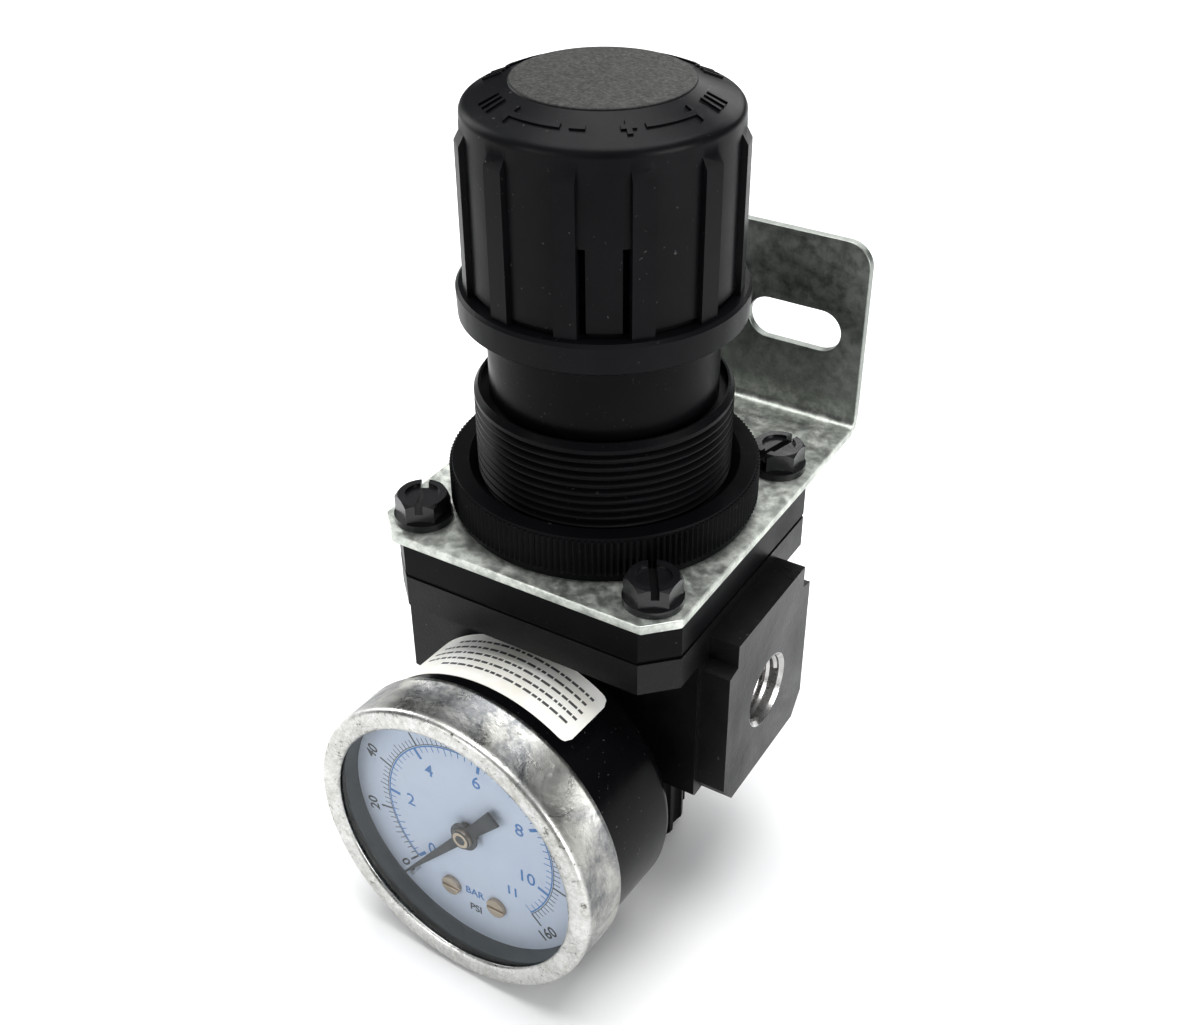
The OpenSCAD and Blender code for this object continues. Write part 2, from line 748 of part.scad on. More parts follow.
module diaphragm_hub() {
    relief_r = 0.9;
    head_z = seam_z + seat_plate_t + 1.8;
    color(brass) difference() {
        union() {
            post(hub_r, hub_bottom_z, head_z - hub_bottom_z + 0.5);
            post(7, hub_bottom_z, hub_flange_t);
            post(2.6, pin_top_z, nose_h + 0.1);
            post(hub_r + 1.6, head_z, 1.2);
        }
        post(relief_r, pin_top_z - cut, 20);
    }
}

module valve_poppet() {
    color(brass) union() {
        post(stem_r, stem_bottom_z, poppet_bottom_z - stem_bottom_z + 0.1);
        post(poppet_r, poppet_bottom_z, poppet_head_h);
        post(pin_r, poppet_top_z - 0.1, pin_top_z - poppet_top_z + 0.1);
    }
}

module poppet_seal() {
    color(rubber) ring(poppet_r - 0.2, pin_r + fit, poppet_top_z, poppet_seal_t);
}

module valve_spring() {
    color(steel) coil(4.3, 0.5, post_top_z, poppet_bottom_z - post_top_z, 6, 16, 6);
}

module gauge_case() {
    corner = 2;
    hole_r = 6.75;
    front = gasket_z;
    color(paint_black) gauge_frame() difference() {
        rotate_extrude() polygon([
            [hole_r, case_back], [case_r - corner, case_back], [case_r - 0.5, case_back + 0.6],
            [case_r, case_back + corner], [case_r, front], [case_r - case_wall, front],
            [case_r - case_wall, case_back + corner], [case_r - corner, case_back + case_wall],
            [hole_r, case_back + case_wall]]);
        case_screw_places() post(1.3, case_back - cut, case_wall + 2 * cut);
    }
}

module gauge_bezel() {
    round = 1.1;
    skirt_r = case_r + fit;
    back = bezel_back;
    color(chrome) gauge_frame() rotate_extrude() polygon(concat(
        [[skirt_r, back], [bezel_r - 0.2, back], [bezel_r, back + 0.3]],
        [for (a = [0:15:90]) [bezel_r - round * (1 - cos(a)), bezel_front - round + round * sin(a)]],
        [[bezel_open_r + 0.5, bezel_front - 0.05], [bezel_open_r, bezel_front - 0.4],
         [bezel_open_r, bezel_front - bezel_t], [skirt_r, bezel_front - bezel_t]]));
}

module gauge_lens() {
    color([0.85, 0.9, 0.92, 0.35]) gauge_frame() post(case_r, lens_z, lens_t);
}

module lens_gasket() {
    color(rubber) gauge_frame() ring(case_r, case_r - 1.2, gasket_z, gasket_t);
}

module gauge_dial() {
    color([0.8, 0.83, 0.9]) gauge_frame() difference() {
        post(dial_r, dial_z, dial_t);
        post(2, dial_z - cut, dial_t + 2 * cut);
        dial_screw_places() post(1.05, dial_z - cut, dial_t + 2 * cut);
    }
}

// The two dial screws sit low on the dial, either side of the vertical
module dial_screw_places() {
    for (x = [-dial_screw_x, dial_screw_x]) translate([x, dial_screw_y, 0]) children();
}

module dial_screws() {
    color(steel) gauge_frame() dial_screw_places() difference() {
        union() {
            post(1.9, dial_z + dial_t, 0.8);
            post(1, movement_top + movement_plate_t, dial_z + dial_t - movement_top - movement_plate_t + 0.1);
        }
        translate([-3, -0.25, dial_z + dial_t + 0.4]) cube([6, 0.5, 1]);
    }
}

module pointer_stop() {
    color(steel) gauge_frame() rotate(pointer_rest + 2.2) translate([19.6, 0, 0])
        post(0.45, dial_z + dial_t, 1.9);
}

// Threaded stem, square neck and the block that holds the tube and the movement
module gauge_socket() {
    square_w = 9.2;
    block_z = case_back + case_wall + 0.1;
    block_h = socket_front - block_z;
    wing = 11.5;
    color(brass) gauge_frame() difference() {
        union() {
            post(stem_thread_r, core_d / 2 - 5.7, 6.3);
            translate([-square_w / 2, -square_w / 2, core_d / 2 + 0.4])
                cube([square_w, square_w, block_z + cut - core_d / 2 - 0.4]);
            translate([-tube_block_w / 2, -19.5, block_z]) cube([tube_block_w, 26, block_h]);
            translate([-wing, -square_w / 2, block_z]) cube([2 * wing, square_w, block_h]);
        }
        post(1.2, core_d / 2 - 6, block_z + 3 - core_d / 2 + 6);
        case_screw_places() post(1.25, case_back, 5);
    }
}

module case_screw_places() {
    for (x = [-9, 9]) translate([x, 0, 0]) children();
}

module case_screws() {
    color(steel) gauge_frame() case_screw_places() union() {
        post(2, case_back - 1.1, 1.1);
        post(1.2, case_back - 0.1, 4.6);
    }
}

// Flattened tube bent into an open ring, closed at its tip, with the pin that the link hangs from
module bourdon_tube() {
    tube_w = 7;
    tube_t = 2.2;
    root = 260;
    base = socket_front - tube_w + 0.6;
    tip_h = 0.6;
    color(brass) gauge_frame() union() {
        difference() {
            rotate(tube_tip_angle) rotate_extrude(angle = root - tube_tip_angle)
                translate([tube_r - tube_t / 2, base]) square([tube_t, tube_w]);
            translate([-tube_block_w / 2, -30, base - cut]) cube([tube_block_w, 30, tube_w + 2 * cut]);
        }
        rotate(tube_tip_angle) translate([tube_r - 1.4, -1, base]) cube([2.8, 2, tube_w + tip_h]);
        rotate(tube_tip_angle) translate([tube_r, 0, 0]) post(0.4, base + tube_w, link_z - 0.1 - base - tube_w);
    }
}

module plate_outline() {
    difference() {
        translate([-6, -13.6]) square([12, 18]);
        circle(r = arbor_r + fit);
        translate([0, sector_pivot_y]) circle(r = arbor_r + fit);
    }
}

module movement_back_plate() {
    color(brass) gauge_frame() translate([0, 0, socket_front]) linear_extrude(movement_plate_t) plate_outline();
}

module movement_front_plate() {
    color(brass) gauge_frame() translate([0, 0, movement_top]) linear_extrude(movement_plate_t) difference() {
        union() {
            plate_outline();
            dial_screw_places() circle(r = 2.2);
        }
        dial_screw_places() circle(r = 0.8);
    }
}

module movement_pillars() {
    color(brass) gauge_frame() for (x = [-4.9, 4.9]) translate([x, 3.2, 0])
        post(0.9, movement_z, movement_top - movement_z);
    color(brass) gauge_frame() for (x = [-5, 5]) translate([x, -9.8, 0])
        post(0.7, movement_z, movement_top - movement_z);
}

// Flat spiral between the pinion and a stud on the back plate
module hairspring() {
    turns = 4;
    steps = 24;
    start_r = 1.25;
    pitch = 0.42;
    half_t = 0.06;
    base = movement_z + 0.5;
    outline = [for (side = [-half_t, half_t]) [for (i = [0:turns * steps])
        let (k = side < 0 ? i : turns * steps - i, a = 360 * k / steps, r = start_r + pitch * k / steps + side)
        [r * cos(a), r * sin(a)]]];
    end_r = start_r + pitch * turns;
    color(steel) gauge_frame() union() {
        translate([0, 0, base]) linear_extrude(0.5) polygon(concat(outline[0], outline[1]));
        translate([end_r, 0, 0]) post(0.3, movement_z, 1.2);
    }
}

// One slim gear tooth that points along +X from the root radius
module tooth(pitch_radius, flank) {
    polygon([[pitch_radius - 0.5, -0.17], [pitch_radius, -0.14], [pitch_radius + flank, -0.07],
             [pitch_radius + flank, 0.07], [pitch_radius, 0.14], [pitch_radius - 0.5, 0.17]]);
}

module pinion_shaft() {
    gear_z = movement_z + 2.5;
    color(steel) gauge_frame() union() {
        post(arbor_r, socket_front, boss_z - socket_front);
        translate([0, 0, gear_z]) linear_extrude(2.6) union() {
            circle(r = pinion_r - 0.32);
            for (i = [0:pinion_teeth - 1]) rotate(-90 + (i + 0.5) * 360 / pinion_teeth) tooth(pinion_r, 0.2);
        }
    }
}

// Pointer: a thin tapered arm, a broad tail and a round boss
module gauge_pointer() {
    arm = 22.6;
    tail = 10;
    tail_half = 1.5;
    color([0.2, 0.2, 0.21]) gauge_frame() rotate(pointer_rest) union() {
        translate([0, 0, pointer_z]) linear_extrude(pointer_t) union() {
            polygon([[0, -1.05], [arm, -0.12], [arm, 0.12], [0, 1.05]]);
            polygon([[0, -0.9], [-tail, -tail_half], [-tail, tail_half], [0, 0.9]]);
            circle(r = 2.7);
        }
        post(1.8, boss_z, pointer_hub_top - boss_z);
    }
}

module sector_gear() {
    gear_z = movement_z + 3.1;
    thickness = 0.9;
    step = 360 / sector_teeth;
    low = 90 - sector_travel - 8;
    high = 98;
    tooth_low = -floor((sector_travel + 6) / step);
    color(brass) gauge_frame() translate([0, sector_pivot_y, 0]) union() {
        post(arbor_r, socket_front, movement_top + movement_plate_t - socket_front);
        translate([0, 0, gear_z]) linear_extrude(thickness) union() {
            circle(r = 1.6);
            intersection() {
                difference() {
                    circle(r = sector_r - 0.32);
                    circle(r = sector_r - 1.8);
                }
                polygon([[0, 0], [12 * cos(low), 12 * sin(low)], [12 * cos(68), 12 * sin(68)],
                         [12 * cos(high), 12 * sin(high)]]);
            }
            rotate((low + high) / 2) translate([0, -0.8]) square([sector_r - 1.2, 1.6]);
            for (i = [tooth_low:1]) rotate(90 + i * step) tooth(sector_r, 0.2);
            rotate(tail_angle) translate([0, -0.7]) square([tail_r, 1.4]);
            rotate(tail_angle) translate([tail_r, 0]) circle(r = 1.1);
        }
        rotate(tail_angle) translate([tail_r, 0, 0]) post(0.4, gear_z, link_z + 0.9 - gear_z);
    }
}

// Link between the tube's tip and the sector's tail
module gauge_link() {
    tail_x = tail_r * cos(tail_angle);
    tail_y = sector_pivot_y + tail_r * sin(tail_angle);
    tip_x = tube_r * cos(tube_tip_angle);
    tip_y = tube_r * sin(tube_tip_angle);
    length = norm([tip_x - tail_x, tip_y - tail_y]);
    turn = atan2(tip_y - tail_y, tip_x - tail_x);
    color(steel) gauge_frame() translate([tail_x, tail_y, link_z]) rotate(turn) linear_extrude(0.6) difference() {
        union() {
            circle(r = 1);
            translate([0, -0.55]) square([length, 1.1]);
            translate([length, 0]) circle(r = 1);
        }
        circle(r = 0.4 + fit);
        translate([length, 0]) circle(r = 0.45);
    }
}

// Paper label wrapped on top of the case
module case_label() {
    paper_t = 0.12;
    first_angle = 55.5;
    last_angle = 135;
    color([0.92, 0.92, 0.88]) gauge_frame() rotate(first_angle - gauge_roll)
        rotate_extrude(angle = last_angle - first_angle)
        translate([case_r, case_back + 2.1]) square([paper_t, bezel_back - case_back - 4.9]);
}

body();
bonnet();
bracket();
panel_nut();
bonnet_screws();
bottom_cap();
cap_seal();
valve_seat();
stem_seal();
rear_port_plug();
diaphragm();
thrust_washer();
adjusting_screw();
knob();
spring_nut();
range_spring();
spring_seat();
pressure_plate();
diaphragm_hub();
valve_poppet();
poppet_seal();
valve_spring();
gauge_case();
gauge_bezel();
gauge_lens();
lens_gasket();
gauge_dial();
dial_screws();
pointer_stop();
gauge_socket();
case_screws();
bourdon_tube();
movement_back_plate();
movement_front_plate();
movement_pillars();
hairspring();
pinion_shaft();
gauge_pointer();
sector_gear();
gauge_link();
case_label();
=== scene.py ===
import bpy
import bmesh
import json
import math
import random
from mathutils import Matrix, Vector


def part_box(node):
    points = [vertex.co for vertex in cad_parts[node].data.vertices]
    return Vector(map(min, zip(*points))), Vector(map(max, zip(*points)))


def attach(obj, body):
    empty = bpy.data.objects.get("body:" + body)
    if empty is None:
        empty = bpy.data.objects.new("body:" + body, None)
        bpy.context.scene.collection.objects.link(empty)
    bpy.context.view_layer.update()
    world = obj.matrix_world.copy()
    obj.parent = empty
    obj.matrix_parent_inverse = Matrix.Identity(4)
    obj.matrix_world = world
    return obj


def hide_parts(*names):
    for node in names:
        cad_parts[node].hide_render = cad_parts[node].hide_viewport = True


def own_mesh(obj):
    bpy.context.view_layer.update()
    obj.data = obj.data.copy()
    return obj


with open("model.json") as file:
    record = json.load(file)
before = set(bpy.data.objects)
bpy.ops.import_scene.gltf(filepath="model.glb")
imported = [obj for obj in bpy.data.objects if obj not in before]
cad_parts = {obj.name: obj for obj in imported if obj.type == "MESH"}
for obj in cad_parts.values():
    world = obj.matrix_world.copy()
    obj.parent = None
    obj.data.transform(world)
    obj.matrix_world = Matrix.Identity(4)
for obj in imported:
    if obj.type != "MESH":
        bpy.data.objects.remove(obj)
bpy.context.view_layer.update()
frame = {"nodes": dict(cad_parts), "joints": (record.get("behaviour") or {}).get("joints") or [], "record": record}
NODES = frame["nodes"]
JOINTS = {j["name"]: j for j in frame["joints"]}
NODE_SLOT = {s["node"]: s["material_slot"] for s in frame["record"]["subparts"]}
NODE_BODY = {n: b for b, names in frame["record"]["behaviour"]["bodies"].items() for n in names}
MOUNTS = {m["name"]: m for m in frame["record"]["mounts"]}
MM = 0.001
TAU = 2 * math.pi

# ---------------------------------------------------------------- gauge frame
# Local z runs out along the gauge axis, y up and x to the viewer's right, in millimetres.
PIVOT_DEPTH = 42 * MM
GAUGE_ROLL = math.radians(2)
gauge_out = -Vector(JOINTS["pointer_turn"]["axis"]).normalized()
gauge_pivot = Vector(JOINTS["pointer_turn"]["pos_m"])
gauge_up = (Vector((0, 0, 1)) - gauge_out * gauge_out.z).normalized()
gauge_right = gauge_up.cross(gauge_out)
GAUGE = Matrix.Translation(gauge_pivot - gauge_out * PIVOT_DEPTH) @ Matrix((
    (gauge_right.x, gauge_up.x, gauge_out.x, 0),
    (gauge_right.y, gauge_up.y, gauge_out.y, 0),
    (gauge_right.z, gauge_up.z, gauge_out.z, 0),
    (0, 0, 0, 1))) @ Matrix.Rotation(GAUGE_ROLL, 4, "Z") @ Matrix.Scale(MM, 4)
ROW = Matrix.Scale(MM, 4)

# Levels and radii of the gauge, in its own frame
DIAL_FRONT = 41.5
CASE_R = 26.75
SKIRT_FRONT = 46.4
SKIRT_BLEND = 0.8


# ---------------------------------------------------------------- node helpers
class Nodes:
    """Builds one material's node tree."""

    SOCKETS = {"color": "Base Color", "rough": "Roughness", "metal": "Metallic", "normal": "Normal",
               "spec": "Specular IOR Level"}

    def __init__(self, name):
        self.material = bpy.data.materials.new(name)
        self.material.use_nodes = True
        self.tree = self.material.node_tree
        self.shader = self.tree.nodes["Principled BSDF"]
        self.output = self.tree.nodes["Material Output"]
        self.coords = self.tree.nodes.new("ShaderNodeTexCoord")

    def link(self, a, b):
        self.tree.links.new(a, b)

    def add(self, kind):
        return self.tree.nodes.new(kind)

    def noise(self, scale, detail=4.0, rough=0.55, distortion=0.0):
        node = self.add("ShaderNodeTexNoise")
        node.inputs["Scale"].default_value = scale
        node.inputs["Detail"].default_value = detail
        node.inputs["Roughness"].default_value = rough
        node.inputs["Distortion"].default_value = distortion
        self.link(self.coords.outputs["Object"], node.inputs["Vector"])
        return node.outputs["Fac"]

    def ramp(self, value, low, high, out_low=0.0, out_high=1.0):
        node = self.add("ShaderNodeMapRange")
        node.clamp = True
        node.inputs["From Min"].default_value = low
        node.inputs["From Max"].default_value = high
        node.inputs["To Min"].default_value = out_low
        node.inputs["To Max"].default_value = out_high
        self.link(value, node.inputs["Value"])
        return node.outputs["Result"]

    def math(self, operation, *operands):
        node = self.add("ShaderNodeMath")
        node.operation = operation
        for i, value in enumerate(operands):
            if isinstance(value, (int, float)):
                node.inputs[i].default_value = value
            else:
                self.link(value, node.inputs[i])
        return node.outputs[0]

    def mix(self, factor, a, b):
        node = self.add("ShaderNodeMix")
        node.data_type = "RGBA"
        self.link(factor, node.inputs[0])
        for socket, value in ((node.inputs[6], a), (node.inputs[7], b)):
            if isinstance(value, (tuple, list)):
                socket.default_value = (*value[:3], 1)
            else:
                self.link(value, socket)
        return node.outputs[2]

    def bump(self, height, strength, distance, normal=None):
        node = self.add("ShaderNodeBump")
        node.inputs["Strength"].default_value = strength
        node.inputs["Distance"].default_value = distance
        self.link(height, node.inputs["Height"])
        if normal is not None:
            self.link(normal, node.inputs["Normal"])
        return node.outputs["Normal"]

    def xyz(self):
        node = self.add("ShaderNodeSeparateXYZ")
        self.link(self.coords.outputs["Object"], node.inputs[0])
        return node.outputs

    def dust_mask(self, amount, speck_scale=1500.0, least=0.69, patch_scale=90.0, patch=(0.4, 0.7)):
        """Fine specks that gather in patches."""
        specks = self.ramp(self.noise(speck_scale, 2.0, 0.5), least, 0.76)
        return self.math("MULTIPLY", specks, self.ramp(self.noise(patch_scale, 2.0), *patch, 0.0, amount))

    def set(self, **values):
        for key, value in values.items():
            socket = self.shader.inputs[self.SOCKETS[key]]
            if isinstance(value, (int, float)):
                socket.default_value = value
            elif isinstance(value, (tuple, list)):
                socket.default_value = (*value[:3], 1)
            else:
                self.link(value, socket)
        return self.material


# ---------------------------------------------------------------- materials
DUST = (0.16, 0.155, 0.145)
DUST_ON_KNOB = (0.22, 0.215, 0.2)
KNOB_DISC_R = 13.4 * MM
GLOSS_SPREAD = 0.125


def black_surface(name, tone, rough, grain_scale, grain, dust, spec=0.5):
    """Black plastic or coating: fine grain, uneven gloss, faint dust and light scuffs."""
    n = Nodes(name)
    fine = n.noise(grain_scale, 3.0, 0.6)
    wide = n.noise(60.0, 3.0, 0.6)
    light = tuple(min(1.0, c * 1.55 + 0.004) for c in tone)
    base = n.mix(n.ramp(wide, 0.3, 0.72), tone, light)
    color = n.mix(n.dust_mask(dust), base, DUST)
    scuff = n.ramp(n.noise(28.0, 5.0, 0.7, distortion=0.6), 0.35, 0.7, -GLOSS_SPREAD, GLOSS_SPREAD)
    roughness = n.math("ADD", scuff, rough)
    normal = n.bump(fine, grain, 0.00012)
    return n.set(color=color, rough=roughness, normal=normal, spec=spec)


def knob_surface():
    """Satin black plastic: the raised disc on top is grey and pebbled."""
    n = Nodes("knob_satin_black")
    x, y, z = n.xyz()
    radius = n.math("SQRT", n.math("ADD", n.math("MULTIPLY", x, x), n.math("MULTIPLY", y, y)))
    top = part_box("knob")[1].z
    on_disc = n.ramp(radius, KNOB_DISC_R + 0.2 * MM, KNOB_DISC_R - 0.2 * MM)
    disc = n.math("MULTIPLY", on_disc, n.ramp(z, top - 0.6 * MM, top - 0.3 * MM))
    wide = n.noise(70.0, 3.0, 0.6)
    base = n.mix(n.ramp(wide, 0.3, 0.7), (0.0030, 0.0032, 0.0040), (0.0058, 0.0060, 0.0072))
    pebble = n.noise(1900.0, 3.0, 0.65)
    grey = n.mix(n.ramp(pebble, 0.35, 0.68), (0.030, 0.031, 0.029), (0.082, 0.084, 0.079))
    dusty = n.dust_mask(0.5, 1300.0, 0.70, 75.0, (0.42, 0.66))
    color = n.mix(dusty, n.mix(disc, base, grey), DUST_ON_KNOB)
    scuff = n.ramp(n.noise(34.0, 5.0, 0.7, distortion=0.5), 0.3, 0.7, 0.29, 0.43)
    roughness = n.math("ADD", scuff, n.math("MULTIPLY", disc, 0.2))
    fine = n.bump(n.noise(2600.0, 3.0, 0.6), 0.10, 0.0001)
    coarse = n.add("ShaderNodeBump")
    coarse.inputs["Distance"].default_value = 0.00016
    n.link(pebble, coarse.inputs["Height"])
    n.link(n.math("MULTIPLY", disc, 0.75), coarse.inputs["Strength"])
    n.link(fine, coarse.inputs["Normal"])
    return n.set(color=color, rough=roughness, normal=coarse.outputs["Normal"], spec=0.11)


def bonnet_surface():
    """Satin black plastic, with painted shade and higher roughness where the knob covers the neck."""
    n = Nodes("bonnet_moulding")
    height = n.xyz()[2]
    covered_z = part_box("knob")[0].z
    # Painted shade on the neck inside the knob: darker colour and no dust there, plus higher roughness
    painted_knob_shade = n.ramp(height, covered_z, covered_z + 2 * MM)
    wide = n.noise(60.0, 3.0, 0.6)
    base = n.mix(n.ramp(wide, 0.3, 0.72), (0.0022, 0.0023, 0.0030), (0.0042, 0.0043, 0.0052))
    base = n.mix(painted_knob_shade, base, (0.0012, 0.0012, 0.0012))
    dusty = n.math("MULTIPLY", n.dust_mask(0.35), n.math("SUBTRACT", 1.0, painted_knob_shade))
    color = n.mix(dusty, base, DUST)
    scuff = n.ramp(n.noise(28.0, 5.0, 0.7, distortion=0.6), 0.35, 0.7, 0.26, 0.44)
    roughness = n.math("ADD", scuff, n.math("MULTIPLY", painted_knob_shade, 0.5))
    normal = n.bump(n.noise(1900.0, 3.0, 0.6), 0.16, 0.00012)
    return n.set(color=color, rough=roughness, normal=normal, spec=0.08)


def zinc_surface():
    """Mottled zinc plating with a faint green cast, streaks and darker, rougher spots."""
    n = Nodes("zinc_plate")
    wide = n.noise(55.0, 5.0, 0.65, distortion=0.8)
    spots = n.noise(420.0, 4.0, 0.7)
    fine = n.noise(1600.0, 3.0, 0.6)
    tint = n.mix(n.ramp(wide, 0.35, 0.65), (0.58, 0.61, 0.565), (0.78, 0.80, 0.75))
    shade = n.mix(n.ramp(spots, 0.38, 0.62), (0.40, 0.42, 0.39), tint)
    dark = n.math("MULTIPLY", n.ramp(n.noise(900.0, 4.0, 0.75), 0.62, 0.74), n.ramp(wide, 0.4, 0.7, 0.2, 0.9))
    color = n.mix(dark, shade, (0.18, 0.185, 0.165))
    # Painted shade: the upright is painted darker than the plate
    plate_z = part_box("bracket")[0].z
    upright_shade = n.ramp(n.xyz()[2], plate_z + 3 * MM, plate_z + 7 * MM)
    upright_shade_tone = n.mix(n.ramp(wide, 0.35, 0.65), (0.17, 0.185, 0.175), (0.27, 0.285, 0.265))
    color = n.mix(n.math("MULTIPLY", upright_shade, 0.72), color, upright_shade_tone)
    roughness = n.math("ADD", n.ramp(spots, 0.3, 0.7, 0.32, 0.52), n.ramp(wide, 0.3, 0.7, -0.05, 0.08))
    normal = n.bump(fine, 0.25, 0.00006, n.bump(spots, 0.25, 0.0002))
    return n.set(color=color, rough=roughness, metal=0.92, normal=normal)


def chrome_surface():
    """Old chrome plate: bright, with fine pits, stains and worn patches."""
    n = Nodes("worn_chrome")
    patches = n.noise(95.0, 6.0, 0.7, distortion=1.2)
    fine = n.noise(1500.0, 4.0, 0.75)
    grain = n.noise(620.0, 5.0, 0.8)
    pits = n.math("MULTIPLY", n.ramp(grain, 0.57, 0.66), n.ramp(patches, 0.36, 0.58, 0.15, 1.0))
    base = n.mix(n.ramp(patches, 0.36, 0.62), (0.56, 0.56, 0.54), (0.42, 0.42, 0.40))
    base = n.mix(n.ramp(fine, 0.40, 0.66, 0.0, 0.5), base, (0.78, 0.78, 0.765))
    color = n.mix(pits, base, (0.12, 0.115, 0.10))
    stain = n.math("MULTIPLY", n.ramp(n.noise(150.0, 5.0, 0.75, distortion=0.8), 0.54, 0.70), 0.55)
    color = n.mix(stain, color, (0.27, 0.26, 0.215))
    # The skirt is duller than the front face, with dark blotches
    depth = n.add("ShaderNodeVectorMath")
    depth.operation = "DOT_PRODUCT"
    n.link(n.coords.outputs["Object"], depth.inputs[0])
    depth.inputs[1].default_value = gauge_out
    shift = (gauge_pivot - gauge_out * PIVOT_DEPTH).dot(gauge_out)
    front = shift + SKIRT_FRONT * MM
    skirt = n.ramp(depth.outputs["Value"], front, front - SKIRT_BLEND * MM)
    blotch = n.ramp(n.noise(70.0, 7.0, 0.72, distortion=1.0), 0.42, 0.60)
    mottle = n.mix(blotch, (0.36, 0.36, 0.335), (0.055, 0.06, 0.07))
    mottle = n.mix(n.ramp(grain, 0.5, 0.72, 0.0, 0.5), mottle, (0.42, 0.42, 0.40))
    color = n.mix(n.math("MULTIPLY", skirt, 0.8), color, mottle)
    worn = n.ramp(patches, 0.34, 0.66, 0.20, 0.42)
    roughness = n.math("ADD", worn, n.math("MULTIPLY", pits, 0.35))
    normal = n.bump(fine, 0.2, 0.0001, n.bump(grain, 0.25, 0.00025, n.bump(patches, 0.2, 0.0004)))
    return n.set(color=color, rough=roughness, metal=1.0, normal=normal)


def metal_surface(name, light, dark, rough, metal=1.0):
    """Plain machined or plated metal with tone and gloss that vary."""
    n = Nodes(name)
    wide = n.noise(130.0, 4.0, 0.65)
    fine = n.noise(900.0, 4.0, 0.7)
    color = n.mix(n.ramp(wide, 0.3, 0.7), light, dark)
    grime = n.math("MULTIPLY", n.ramp(fine, 0.58, 0.75), 0.5)
    color = n.mix(grime, color, tuple(c * 0.35 for c in dark))
    roughness = n.ramp(wide, 0.3, 0.7, rough - 0.07, rough + 0.1)
    return n.set(color=color, rough=roughness, metal=metal, normal=n.bump(fine, 0.15, 0.00008))


def enamel_surface():
    """Gloss black enamel with dust and a slight ripple."""
    n = Nodes("case_enamel")
    ripple = n.noise(260.0, 3.0, 0.5)
    specks = n.ramp(n.noise(1400.0, 2.0, 0.5), 0.70, 0.76, 0.0, 0.6)
    wide = n.noise(60.0, 3.0, 0.6)
    enamel = n.mix(wide, (0.0018, 0.0019, 0.0024), (0.0038, 0.0040, 0.0048))
    color = n.mix(specks, enamel, (0.10, 0.097, 0.09))
    normal = n.bump(ripple, 0.10, 0.0003)
    return n.set(color=color, rough=n.ramp(wide, 0.3, 0.7, 0.12, 0.26), normal=normal, spec=0.09)


def dial_surface():
    """Pale enamel with a cool tint and slight ageing."""
    n = Nodes("dial_enamel")
    wide = n.noise(90.0, 4.0, 0.6)
    fine = n.noise(700.0, 3.0, 0.6)
    color = n.mix(n.ramp(wide, 0.3, 0.7), (0.64, 0.68, 0.80), (0.72, 0.745, 0.84))
    color = n.mix(n.ramp(fine, 0.66, 0.76, 0.0, 0.3), color, (0.32, 0.34, 0.42))
    return n.set(color=color, rough=n.ramp(wide, 0.3, 0.7, 0.42, 0.55), normal=n.bump(fine, 0.06, 0.00006))


def print_surface(name, tone):
    """Printing ink, slightly worn."""
    n = Nodes(name)
    worn = n.ramp(n.noise(1500.0, 3.0, 0.7), 0.55, 0.75, 0.0, 0.45)
    pale = tuple(c * 0.55 + 0.25 for c in tone)
    return n.set(color=n.mix(worn, tone, pale), rough=0.55, normal=n.bump(worn, 0.05, 0.00003))


def paper_surface():
    """Matt label paper with faint yellowing at random."""
    n = Nodes("label_paper")
    wide = n.noise(80.0, 4.0, 0.65)
    fibre = n.noise(2600.0, 3.0, 0.7)
    color = n.mix(n.ramp(wide, 0.45, 0.72), (0.93, 0.93, 0.90), (0.83, 0.805, 0.72))
    roughness = n.ramp(fibre, 0.3, 0.7, 0.62, 0.75)
    return n.set(color=color, rough=roughness, normal=n.bump(fibre, 0.15, 0.00004))


def rubber_surface():
    """Dull moulded rubber with a fine grain."""
    n = Nodes("black_rubber")
    fine = n.noise(1100.0, 3.0, 0.6)
    color = n.mix(n.ramp(fine, 0.3, 0.7), (0.012, 0.012, 0.012), (0.026, 0.026, 0.025))
    return n.set(color=color, rough=n.ramp(fine, 0.3, 0.7, 0.6, 0.75), normal=n.bump(fine, 0.2, 0.0001))


def window_surface():
    """Clear window: a faint reflection over a nearly invisible body, with dust."""
    n = Nodes("clear_window")
    clear = n.add("ShaderNodeBsdfTransparent")
    clear.inputs["Color"].default_value = (0.90, 0.92, 0.93, 1)
    gloss = n.add("ShaderNodeBsdfGlossy")
    gloss.inputs["Color"].default_value = (1, 1, 1, 1)
    gloss.inputs["Roughness"].default_value = 0.06
    facing = n.add("ShaderNodeLayerWeight")
    facing.inputs["Blend"].default_value = 0.5
    grazing = n.math("POWER", facing.outputs["Facing"], 4.0)
    reflected = n.math("ADD", n.math("MULTIPLY", grazing, 0.5), 0.015)
    dust = n.ramp(n.noise(1200.0, 3.0, 0.6), 0.68, 0.78, 0.0, 0.08)
    mixed = n.add("ShaderNodeMixShader")
    n.link(reflected, mixed.inputs[0])
    n.link(clear.outputs[0], mixed.inputs[1])
    n.link(gloss.outputs[0], mixed.inputs[2])
    matt = n.add("ShaderNodeBsdfDiffuse")
    matt.inputs["Color"].default_value = (0.5, 0.5, 0.48, 1)
    dusty = n.add("ShaderNodeMixShader")
    n.link(dust, dusty.inputs[0])
    n.link(mixed.outputs[0], dusty.inputs[1])
    n.link(matt.outputs[0], dusty.inputs[2])
    n.link(dusty.outputs[0], n.output.inputs["Surface"])
    n.tree.nodes.remove(n.shader)
    return n.material


